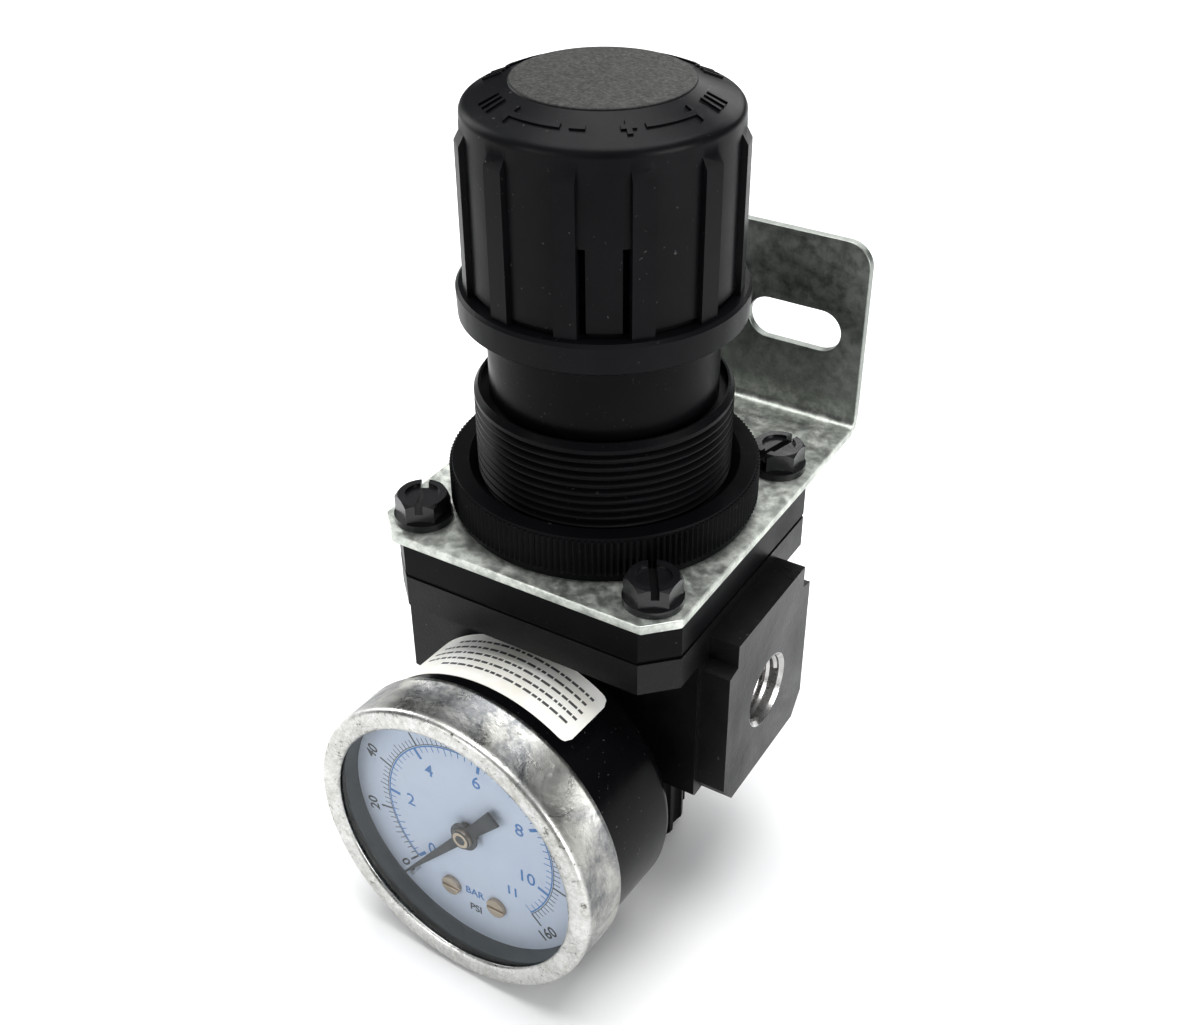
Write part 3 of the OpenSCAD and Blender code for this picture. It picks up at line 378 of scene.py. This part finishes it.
MATERIALS = {
    "paint_black": black_surface("body_coating", (0.0024, 0.0024, 0.0030), 0.38, 1400.0, 0.35,
                                 dust=0.5, spec=0.25),
    "bonnet_plastic": bonnet_surface(),
    "knob_plastic": knob_surface(),
    "zinc": zinc_surface(),
    "black_oxide": black_surface("black_oxide", (0.006, 0.006, 0.007), 0.24, 1100.0, 0.25,
                                 dust=0.3, spec=0.55),
    "steel": metal_surface("machined_steel", (0.56, 0.56, 0.57), (0.36, 0.36, 0.37), 0.3),
    "brass": metal_surface("machined_brass", (0.73, 0.56, 0.31), (0.50, 0.37, 0.19), 0.28),
    "rubber": rubber_surface(),
    "case_black": enamel_surface(),
    "bezel_chrome": chrome_surface(),
    "lens_clear": window_surface(),
    "dial_white": dial_surface(),
    "pointer_black": black_surface("pointer_enamel", (0.012, 0.012, 0.013), 0.5, 1600.0, 0.1, dust=0.2),
    "label_paper": paper_surface(),
}
SURROUND = black_surface("dial_surround", (0.055, 0.065, 0.066), 0.45, 1200.0, 0.15, dust=0.2)
HUB_BRASS = metal_surface("hub_brass", (0.62, 0.50, 0.38), (0.50, 0.38, 0.27), 0.34)
INK_BLACK = print_surface("ink_black", (0.03, 0.03, 0.035))
INK_BLUE = print_surface("ink_blue", (0.055, 0.21, 0.52))
INK_GREY = print_surface("ink_grey", (0.10, 0.10, 0.10))
THREAD_METAL = metal_surface("port_thread", (0.62, 0.61, 0.60), (0.34, 0.335, 0.33), 0.22, metal=0.95)

for node_name, node_object in NODES.items():
    node_object.data.materials.clear()
    node_object.data.materials.append(MATERIALS[NODE_SLOT[node_name]])
    for polygon in node_object.data.polygons:
        polygon.material_index = 0


# ---------------------------------------------------------------- mesh helpers
def new_object(name, mesh, material, body, replaced=()):
    obj = bpy.data.objects.new(name, mesh)
    bpy.context.scene.collection.objects.link(obj)
    mesh.materials.clear()
    mesh.materials.append(material)
    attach(obj, body)
    if replaced:
        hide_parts(*replaced)
    return obj


def mesh_of(name, points, faces, matrix=ROW, smooth=True):
    """Mesh from points in local millimetres."""
    mesh = bpy.data.meshes.new(name)
    mesh.from_pydata([matrix @ Vector(p) for p in points], [], faces)
    mesh.validate()
    bm = bmesh.new()
    bm.from_mesh(mesh)
    bmesh.ops.remove_doubles(bm, verts=bm.verts, dist=1e-7)
    bmesh.ops.recalc_face_normals(bm, faces=bm.faces)
    bm.to_mesh(mesh)
    bm.free()
    for polygon in mesh.polygons:
        polygon.use_smooth = smooth
    return mesh


def mark_sharp(mesh, degrees):
    """Smooth faces, with sharp edges where faces meet at more than the angle."""
    bm = bmesh.new()
    bm.from_mesh(mesh)
    limit = math.radians(degrees)
    for face in bm.faces:
        face.smooth = True
    for edge in bm.edges:
        edge.smooth = not (len(edge.link_faces) != 2 or edge.calc_face_angle(0.0) > limit)
    bm.to_mesh(mesh)
    bm.free()


def refined(node, name, width, segments=2, material=None):
    """A copy of a CAD node's shape with its edges rounded, which then stands for the node."""
    mesh = NODES[node].data.copy()
    mesh.name = name
    bm = bmesh.new()
    bm.from_mesh(mesh)
    bmesh.ops.remove_doubles(bm, verts=bm.verts, dist=2e-6)
    bmesh.ops.dissolve_limit(bm, angle_limit=math.radians(0.5), verts=bm.verts, edges=bm.edges)
    bm.to_mesh(mesh)
    bm.free()
    for polygon in mesh.polygons:
        polygon.use_smooth = True
    material = material or MATERIALS[NODE_SLOT[node]]
    obj = new_object(name, mesh, material, NODE_BODY[node], (node,))
    bevel = obj.modifiers.new("rounded_edges", "BEVEL")
    bevel.width = width * MM
    bevel.segments = segments
    bevel.limit_method = "ANGLE"
    bevel.angle_limit = math.radians(32)
    bevel.use_clamp_overlap = True
    bevel.miter_outer = "MITER_ARC"
    weighted = obj.modifiers.new("flat_faces", "WEIGHTED_NORMAL")
    weighted.keep_sharp = False
    weighted.weight = 80
    return obj


def revolve(name, outline, matrix, steps):
    """Mesh turned about local z from a closed outline of (radius, height) pairs."""
    points, faces = [], []
    count = len(outline)
    for i in range(steps):
        angle = TAU * i / steps
        for radius, height in outline:
            points.append((radius * math.cos(angle), radius * math.sin(angle), height))
    for i in range(steps):
        j = (i + 1) % steps
        for k in range(count):
            m = (k + 1) % count
            faces.append((i * count + k, j * count + k, j * count + m, i * count + m))
    return mesh_of(name, points, faces, matrix)


def coil_mesh(name, mean_r, wire_r, z, height, turns):
    """Round wire helix with closed flat ends, as a compression spring."""
    steps = 48
    sides = 12
    points, faces = [], []
    total = int(turns * steps)
    travel = height - 2 * wire_r
    ground = 0.75 * steps
    for i in range(total + 1):
        angle = TAU * i / steps
        share = min(max((i - ground) / (total - 2 * ground), 0), 1)
        middle = z + wire_r + travel * share
        for k in range(sides):
            around = TAU * k / sides
            radius = mean_r + wire_r * math.cos(around)
            lift = wire_r * math.sin(around)
            points.append((radius * math.cos(angle), radius * math.sin(angle), middle + lift))
    for i in range(total):
        for k in range(sides):
            m = (k + 1) % sides
            faces.append((i * sides + k, (i + 1) * sides + k, (i + 1) * sides + m, i * sides + m))
    faces.append(tuple(range(sides)))
    faces.append(tuple(total * sides + k for k in range(sides - 1, -1, -1)))
    return mesh_of(name, points, faces)


def flat_mesh(name, polygons, matrix, z):
    """Thin raised print: each polygon is a list of (x, y) in local millimetres."""
    thickness = 0.02
    points, faces = [], []
    for polygon in polygons:
        start = len(points)
        count = len(polygon)
        points += [(x, y, z + thickness) for x, y in polygon]
        points += [(x, y, z) for x, y in polygon]
        faces.append(tuple(range(start, start + count)))
        for k in range(count):
            m = (k + 1) % count
            faces.append((start + k, start + m, start + count + m, start + count + k))
    mesh = bpy.data.meshes.new(name)
    mesh.from_pydata([matrix @ Vector(p) for p in points], [], faces)
    bm = bmesh.new()
    bm.from_mesh(mesh)
    bmesh.ops.recalc_face_normals(bm, faces=bm.faces)
    bm.to_mesh(mesh)
    bm.free()
    return mesh


def glyph_polygons(text, size, x, y, turn=0.0, bold=0.0):
    """Generic lettering as flat triangles, centred on (x, y)."""
    curve = bpy.data.curves.new("glyph", "FONT")
    curve.body = text
    curve.size = size
    curve.offset = bold
    curve.align_x = "CENTER"
    curve.align_y = "CENTER"
    curve.resolution_u = 4
    holder = bpy.data.objects.new("glyph", curve)
    bpy.context.scene.collection.objects.link(holder)
    bpy.context.view_layer.update()
    evaluated = holder.evaluated_get(bpy.context.evaluated_depsgraph_get())
    mesh = bpy.data.meshes.new_from_object(evaluated)
    cos_t, sin_t = math.cos(turn), math.sin(turn)
    result = []
    for polygon in mesh.polygons:
        ring = [mesh.vertices[i].co for i in polygon.vertices]
        result.append([(x + p.x * cos_t - p.y * sin_t, y + p.x * sin_t + p.y * cos_t) for p in ring])
    bpy.data.objects.remove(holder)
    bpy.data.curves.remove(curve)
    bpy.data.meshes.remove(mesh)
    return result


def polar_bar(angle, inner, outer, width):
    """Radial tick as a quad. The angle is measured from local x."""
    cos_a, sin_a = math.cos(angle), math.sin(angle)
    half = width / 2
    return [(inner * cos_a + half * sin_a, inner * sin_a - half * cos_a),
            (outer * cos_a + half * sin_a, outer * sin_a - half * cos_a),
            (outer * cos_a - half * sin_a, outer * sin_a + half * cos_a),
            (inner * cos_a - half * sin_a, inner * sin_a + half * cos_a)]


def arc_band(start, end, inner, outer):
    """Arc as a row of quads."""
    steps = 120
    quads = []
    for i in range(steps):
        a = start + (end - start) * i / steps
        b = start + (end - start) * (i + 1) / steps
        corners = ((inner, a), (outer, a), (outer, b), (inner, b))
        quads.append([(radius * math.cos(angle), radius * math.sin(angle)) for radius, angle in corners])
    return quads


# ---------------------------------------------------------------- rounded CAD pieces
refined("body", "body_casting", 0.35, 3)
refined("bonnet", "bonnet_moulding", 0.14, 2)
refined("knob", "knob_moulding", 0.28, 3)
refined("bracket", "bracket_sheet", 0.22, 2)
refined("panel_nut", "panel_nut_ring", 0.10, 2)
refined("bonnet_screws", "bonnet_screw_set", 0.22, 3)
refined("bottom_cap", "bottom_cap_grip", 0.35, 3)
refined("gauge_case", "gauge_case_shell", 0.35, 3)
refined("dial_screws", "dial_screw_pair", 0.12, 2, material=HUB_BRASS)
refined("case_screws", "case_screw_pair", 0.12, 2)
refined("rear_port_plug", "rear_port_plug_body", 0.2, 2)
refined("gauge_socket", "gauge_socket_body", 0.2, 2)

for plain in ("lens_gasket", "gauge_lens", "gauge_dial", "bourdon_tube", "thrust_washer", "spring_seat",
              "pressure_plate", "diaphragm_hub", "valve_poppet", "poppet_seal", "diaphragm", "spring_nut",
              "adjusting_screw", "valve_seat", "cap_seal", "stem_seal", "movement_back_plate", "pinion_shaft",
              "movement_front_plate", "movement_pillars", "sector_gear", "gauge_link", "hairspring",
              "pointer_stop", "gauge_pointer"):
    mark_sharp(NODES[plain].data, 30)


# ---------------------------------------------------------------- springs
def spring(node, mean_r, wire_r, turns):
    """Round wire coil that stands for a CAD spring."""
    low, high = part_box(node)
    height = high.z - low.z
    name = node + "_coil"
    mesh = coil_mesh(name, mean_r, wire_r, low.z / MM, height / MM, turns)
    coil = new_object(name, mesh, MATERIALS["steel"], "housing", (node,))
    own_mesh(coil)


spring("range_spring", mean_r=11.6, wire_r=1.35, turns=7)
spring("valve_spring", mean_r=4.3, wire_r=0.5, turns=6)


# ---------------------------------------------------------------- port threads
PORT_HEIGHT = MOUNTS["outlet_port"]["pos_m"][2] / MM


def port_face(side):
    """Distance from the knob's axis to a port's face, in millimetres."""
    low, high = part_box("body")
    return high.x / MM if side > 0 else -low.x / MM


def port_point(side, along, radius, angle):
    """Point on a circle round a port's axis."""
    return (side * along, radius * math.cos(angle), PORT_HEIGHT + radius * math.sin(angle))


def port_piece(name, points, faces):
    """Bare metal piece that stays with the housing."""
    mesh = mesh_of(name, points, faces)
    mark_sharp(mesh, 25)
    new_object(name, mesh, THREAD_METAL, "housing", ())


def port_thread(name, side):
    """Helical ridge inside a port, as cut pipe thread."""
    pitch = 1.41
    wall = 6.09
    crest = 5.62
    steps = 64
    total = 9 * steps
    profile = [(0.0, wall), (0.52, crest), (0.72, crest), (1.24, wall)]
    count = len(profile)
    first = port_face(side) - 1.0 - profile[-1][0]
    points, faces = [], []
    for i in range(total + 1):
        for offset, radius in profile:
            points.append(port_point(side, first - pitch * i / steps + offset, radius, TAU * i / steps))
    for i in range(total):
        for k in range(count):
            m = (k + 1) % count
            faces.append((i * count + k, (i + 1) * count + k, (i + 1) * count + m, i * count + m))
    faces.append(tuple(range(count)))
    faces.append(tuple(total * count + k for k in range(count - 1, -1, -1)))
    port_piece(name, points, faces)


def port_liner(name, side):
    """Bare metal skin of a machined port: mouth chamfer and tapping hole."""
    sunk = 0.03
    depth = 13.8
    inner = 6.07
    outer = 6.16
    profile = [(sunk, 6.70), (0.72, inner), (depth, inner), (depth, outer), (0.70, outer), (sunk, 6.80)]
    steps = 96
    count = len(profile)
    face = port_face(side)
    points, faces = [], []
    for i in range(steps):
        for level, radius in profile:
            points.append(port_point(side, face - level, radius, TAU * i / steps))
    for i in range(steps):
        j = (i + 1) % steps
        for k in range(count):
            m = (k + 1) % count
            ring = (i * count + k, j * count + k, j * count + m, i * count + m)
            faces.append(ring if side > 0 else ring[::-1])
    port_piece(name, points, faces)


port_thread("outlet_port_thread", 1)
port_thread("inlet_port_thread", -1)
port_liner("outlet_port_liner", 1)
port_liner("inlet_port_liner", -1)

# ---------------------------------------------------------------- gauge bezel
BEZEL_BORE_R = 26.82
SKIRT_R = 27.84
SHOULDER_STEPS = 8

# Rolled back edge and skirt
bezel_outline = [(BEZEL_BORE_R, 37.28), (27.62, 37.28), (27.86, 37.42), (27.93, 37.8), (27.93, 38.3),
                 (SKIRT_R, 38.45), (SKIRT_R, 45.9)]
# Rounded shoulder
for step in range(1, SHOULDER_STEPS):
    a = math.radians(90 * step / SHOULDER_STEPS)
    bezel_outline.append((26.86 + 1.0 * math.cos(a), 46.12 + 1.12 * math.sin(a)))
# Flat face, inner lip and the back of the lip
bezel_outline += [(26.3, 47.30), (25.6, 47.32), (24.8, 47.22), (24.3, 47.06), (24.03, 46.85),
                  (23.96, 46.62), (24.05, 46.47), (BEZEL_BORE_R, 46.47)]
bezel_mesh = revolve("bezel_ring", bezel_outline, GAUGE, 256)
mark_sharp(bezel_mesh, 42)
new_object("bezel_ring", bezel_mesh, MATERIALS["bezel_chrome"], "housing", ("gauge_bezel",))

# Dark ring between the dial and the lens
surround_outline = [(24.62, 41.3), (25.85, 41.3), (25.85, 43.45), (25.5, 43.45), (25.5, 44.35),
                    (24.95, 44.35), (24.62, 43.2)]
surround = revolve("dial_surround_ring", surround_outline, GAUGE, 192)
mark_sharp(surround, 35)
new_object("dial_surround_ring", surround, SURROUND, "housing", ())

# ---------------------------------------------------------------- dial graphics
SCALE_START = math.radians(225)
SCALE_SWEEP = math.radians(270)
PSI_MAX = 160
PSI_PER_TICK = 2
PSI_NUMBERS_R = 21.9
BAR_MAX = 11.03
BAR_TOP_MARK = 11
BAR_PER_TICK = 0.2
BAR_NUMBERS_R = 12.5


def scale_angle(share):
    return SCALE_START - SCALE_SWEEP * share


def tick_row(shares, start_r, end_radii, widths):
    """Ticks that are longest and widest at every tenth and longer at every fifth."""
    bars = []
    for i, share in enumerate(shares):
        tenth = i % 10 == 0
        fifth = i % 5 == 0
        end_r = end_radii[0] if tenth else end_radii[1] if fifth else end_radii[2]
        bars.append(polar_bar(scale_angle(share), start_r, end_r, widths[0] if tenth else widths[1]))
    return bars


def number_at(text, size, radius, angle, turn, bold):
    return glyph_polygons(text, size, radius * math.cos(angle), radius * math.sin(angle), turn, bold)


psi_ticks = range(PSI_MAX // PSI_PER_TICK + 1)
bar_ticks = range(round(BAR_TOP_MARK / BAR_PER_TICK) + 1)
black = arc_band(scale_angle(0), scale_angle(1), 17.42, 17.56)
blue = arc_band(scale_angle(0), scale_angle(1), 17.04, 17.30)
black += tick_row([i * PSI_PER_TICK / PSI_MAX for i in psi_ticks], 17.5, (20.1, 19.3, 18.8), (0.36, 0.15))
blue += tick_row([i * BAR_PER_TICK / BAR_MAX for i in bar_ticks], 17.1, (14.9, 15.6, 16.0), (0.62, 0.17))
for value in range(0, PSI_MAX + 1, 20):
    a = scale_angle(value / PSI_MAX)
    # The numbers follow the rim, and the last two are turned to read from the other side
    turn = a + math.pi / 2 if value > 120 else a - math.pi / 2
    black += number_at(str(value), 3.0, PSI_NUMBERS_R, a, turn, 0.05)
for value in range(0, BAR_TOP_MARK, 2):
    blue += number_at(str(value), 3.7, BAR_NUMBERS_R, scale_angle(value / BAR_MAX), 0.0, 0.03)
top_mark_angle = scale_angle(BAR_TOP_MARK / BAR_MAX) - 0.06
blue += number_at(str(BAR_TOP_MARK), 2.8, BAR_NUMBERS_R + 0.1, top_mark_angle, 0.0, 0.06)
blue += glyph_polygons("BAR", 2.2, 0.0, -14.6, 0.0, 0.04)
black += glyph_polygons("PSI", 2.2, 0.0, -18.4, 0.0, 0.04)
new_object("dial_scale_black", flat_mesh("dial_scale_black", black, GAUGE, DIAL_FRONT), INK_BLACK, "housing",
           ())
new_object("dial_scale_blue", flat_mesh("dial_scale_blue", blue, GAUGE, DIAL_FRONT), INK_BLUE, "housing",
           ())

# Brass cap on the pointer's boss, with its centre punch
hub_outline = [(0.0, 43.72), (0.28, 43.72), (0.34, 43.86), (1.45, 43.93), (1.72, 43.86), (1.84, 43.7),
               (1.84, 43.02), (0.0, 43.02)]
hub_mesh = revolve("pointer_hub_cap", hub_outline, GAUGE, 64)
mark_sharp(hub_mesh, 40)
new_object("pointer_hub_cap", hub_mesh, HUB_BRASS, "pointer", ())


# ---------------------------------------------------------------- case label
LABEL_FIRST = 53.5
LABEL_LAST = 133
LABEL_LOW = 21.9
LABEL_HIGH = 34.5
LABEL_CORNER = 1.7
LABEL_T = 0.11


def label_patch(name):
    """Patch with rounded corners, wrapped round the gauge case. Angles are in degrees from local x."""
    columns = 64
    rows = 18
    span = math.radians(LABEL_LAST - LABEL_FIRST) * CASE_R
    depth = LABEL_HIGH - LABEL_LOW
    points, faces = [], []
    for layer in (CASE_R + LABEL_T, CASE_R + 0.005):
        for i in range(columns + 1):
            s = span * i / columns
            edge = min(s, span - s)
            into = max(LABEL_CORNER - edge, 0.0)
            inset = LABEL_CORNER - math.sqrt(max(LABEL_CORNER ** 2 - into ** 2, 0))
            for k in range(rows + 1):
                d = LABEL_LOW + inset + (depth - 2 * inset) * k / rows
                angle = math.radians(LABEL_FIRST) + s / CASE_R
                points.append((layer * math.cos(angle), layer * math.sin(angle), d))
    layer_size = (columns + 1) * (rows + 1)
    for i in range(columns):
        for k in range(rows):
            a = i * (rows + 1) + k
            b = a + rows + 1
            faces.append((a, b, b + 1, a + 1))
            faces.append((a + layer_size + 1, b + layer_size + 1, b + layer_size, a + layer_size))
    for k in range(rows):
        for base in (0, columns * (rows + 1)):
            a = base + k
            faces.append((a, a + 1, a + 1 + layer_size, a + layer_size))
    for i in range(columns):
        for k in (0, rows):
            a = i * (rows + 1) + k
            faces.append((a, a + rows + 1, a + rows + 1 + layer_size, a + layer_size))
    mesh = mesh_of(name, points, faces, GAUGE)
    mark_sharp(mesh, 50)
    new_object(name, mesh, MATERIALS["label_paper"], "housing", ("case_label",))


label_patch("case_label_paper")

# Rows of short grey dashes stand in for the label's small print
DASH_ROW_PITCH = 1.75
DASH_HALF_H = 0.26
DASH_R = CASE_R + 0.13
generator = random.Random(7)
dashes_points, dashes_faces = [], []
for row, stop in enumerate((118, 124, 125, 124, 112)):
    middle = 24.3 + row * DASH_ROW_PITCH
    angle = 57.0 + generator.uniform(0, 2)
    while angle < stop:
        length = generator.uniform(1.2, 4.2)
        start = len(dashes_points)
        pieces = max(2, int(length))
        for i in range(pieces + 1):
            a = math.radians(angle + length * i / pieces)
            for d in (middle - DASH_HALF_H, middle + DASH_HALF_H):
                dashes_points.append((DASH_R * math.cos(a), DASH_R * math.sin(a), d))
        for i in range(pieces):
            dashes_faces.append((start + 2 * i, start + 2 * i + 1, start + 2 * i + 3, start + 2 * i + 2))
        angle += length + generator.uniform(0.5, 0.9)
new_object("case_label_print", mesh_of("case_label_print", dashes_points, dashes_faces, GAUGE), INK_GREY,
           "housing", ())


# ---------------------------------------------------------------- raised marks on the knob
def cone_point(radius, angle, lift):
    """Point on the knob's conical band, lifted along its slope's normal."""
    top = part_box("knob")[1].z / MM
    inner_r, inner_z = 13.6, top - 0.35
    outer_r, outer_z = 19.61, top - 2.905
    slope = math.atan2(inner_z - outer_z, outer_r - inner_r)
    z = inner_z - (radius - inner_r) * math.tan(slope)
    r = radius + lift * math.sin(slope)
    return (r * math.cos(angle), r * math.sin(angle), z + lift * math.cos(slope))


MARK_H = 0.32
MARK_SUNK = 0.15
MARK_R = 16.7
marks = []


def mark(corners):
    """Raised quad on the cone from four (radius, degrees) corners around the cone."""
    marks.append([(r, math.radians(a)) for r, a in corners])


def mark_block(reach, first, last):
    """Raised block on both sides of the ring of marks, between two angles."""
    mark([(MARK_R - reach, first), (MARK_R + reach, first), (MARK_R + reach, last), (MARK_R - reach, last)])


def mark_arc(first, last, width):
    """Curved bar between two angles, in short steps so that it follows the cone."""
    count = max(2, int(abs(last - first) / 3))
    for i in range(count):
        p = first + (last - first) * i / count
        q = first + (last - first) * (i + 1) / count
        mark_block(width / 2, p, q)


KNOB_FRONT = -58.7
for half_turn in (0, 180):
    for side in (-1, 1):
        middle = KNOB_FRONT + half_turn
        mark_arc(middle + side * 20, middle + side * 49, 0.85)
        # Arrowhead at the far end, plus or minus sign at the near end
        mark([(MARK_R - 1.6, middle + side * 48), (MARK_R + 1.6, middle + side * 48),
              (MARK_R + 0.1, middle + side * 58), (MARK_R - 0.1, middle + side * 58)])
        mark_arc(middle + side * 8, middle + side * 15.5, 0.75)
        if side > 0:
            mark_block(1.3, middle + 10.5, middle + 13.0)
        # Short rays beyond the arrow
        for ray in (63, 68, 73):
            mark_block(1.5, middle + side * ray - 0.9, middle + side * ray + 0.9)

mark_points, mark_faces = [], []
for quad in marks:
    start = len(mark_points)
    mark_points += [cone_point(r, a, MARK_H) for r, a in quad]
    mark_points += [cone_point(r, a, -MARK_SUNK) for r, a in quad]
    mark_faces.append((start, start + 1, start + 2, start + 3))
    for k in range(4):
        m = (k + 1) % 4
        mark_faces.append((start + k, start + m, start + 4 + m, start + 4 + k))
new_object("knob_raised_marks", mesh_of("knob_raised_marks", mark_points, mark_faces, ROW, smooth=False),
           MATERIALS["knob_plastic"], "knob", ())

# ---------------------------------------------------------------- floor, lights, camera
FLOOR_REACH = 3.0
floor_corners = [(x * FLOOR_REACH, y * FLOOR_REACH, 0) for x, y in ((-1, -1), (1, -1), (1, 1), (-1, 1))]
floor_mesh = bpy.data.meshes.new("floor")
floor_mesh.from_pydata(floor_corners, [], [(0, 1, 2, 3)])
floor = bpy.data.objects.new("floor", floor_mesh)
bpy.context.scene.collection.objects.link(floor)
floor_nodes = Nodes("white_table")
floor_tone = floor_nodes.mix(floor_nodes.noise(9.0, 2.0), (0.86, 0.86, 0.86), (0.88, 0.88, 0.88))
floor_mesh.materials.append(floor_nodes.set(color=floor_tone, rough=0.7, spec=0.2))

world = bpy.data.worlds.new("studio")
bpy.context.scene.world = world
world.use_nodes = True
tree = world.node_tree
background = tree.nodes["Background"]
background.inputs["Color"].default_value = (0.95, 0.97, 1.0, 1)
direction = tree.nodes.new("ShaderNodeTexCoord")
split = tree.nodes.new("ShaderNodeSeparateXYZ")
tree.links.new(direction.outputs["Generated"], split.inputs[0])
# Dim room at the horizon, pale ceiling overhead
ceiling = tree.nodes.new("ShaderNodeMapRange")
ceiling.interpolation_type = "SMOOTHSTEP"
for socket, value in (("From Min", 0.15), ("From Max", 0.9), ("To Min", 0.045), ("To Max", 0.55)):
    ceiling.inputs[socket].default_value = value
tree.links.new(split.outputs["Z"], ceiling.inputs["Value"])
tree.links.new(ceiling.outputs["Result"], background.inputs["Strength"])


def area_light(name, location, target, size, size_y, power):
    light = bpy.data.lights.new(name, "AREA")
    light.shape = "RECTANGLE"
    light.size = size
    light.size_y = size_y
    light.energy = power
    obj = bpy.data.objects.new(name, light)
    obj.location = location
    aim = Vector(target) - Vector(location)
    obj.rotation_euler = aim.to_track_quat("-Z", "Y").to_euler()
    bpy.context.scene.collection.objects.link(obj)


CENTRE = (0, 0, 0.07)
area_light("top_softbox", (-0.02, 0.12, 0.95), (0, 0, 0.05), 0.8, 0.8, 11.5)
area_light("right_softbox", (0.85, -0.08, 0.26), CENTRE, 0.45, 0.35, 4.5)
area_light("left_softbox", (-0.8, 0.10, 0.40), CENTRE, 0.35, 0.6, 3.0)
area_light("back_softbox", (-0.05, 0.95, 0.50), CENTRE, 0.9, 0.4, 3.0)
area_light("front_softbox", (-0.30, -0.85, 0.30), (0, -0.05, 0.03), 0.5, 0.4, 2.7)

# The camera looks down at the gauge's side, with hardly any roll
CAMERA_AT = Vector((107.63, -177.20, 213.77)) * MM
CAMERA_TURN = math.radians(31.555)
CAMERA_TILT = math.radians(55.171)
CAMERA_ROLL = math.radians(-0.458)
camera_data = bpy.data.cameras.new("camera")
camera_data.sensor_width = 36.0
camera_data.sensor_fit = "HORIZONTAL"
camera_data.lens = 44.39
camera_data.clip_start = 0.01
camera = bpy.data.objects.new("camera", camera_data)
bpy.context.scene.collection.objects.link(camera)
camera.matrix_world = (Matrix.Translation(CAMERA_AT) @ Matrix.Rotation(CAMERA_TURN, 4, "Z")
                       @ Matrix.Rotation(CAMERA_TILT, 4, "X") @ Matrix.Rotation(CAMERA_ROLL, 4, "Z"))
bpy.context.scene.camera = camera
bpy.context.scene.view_settings.view_transform = "Standard"
bpy.context.scene.view_settings.gamma = 0.88
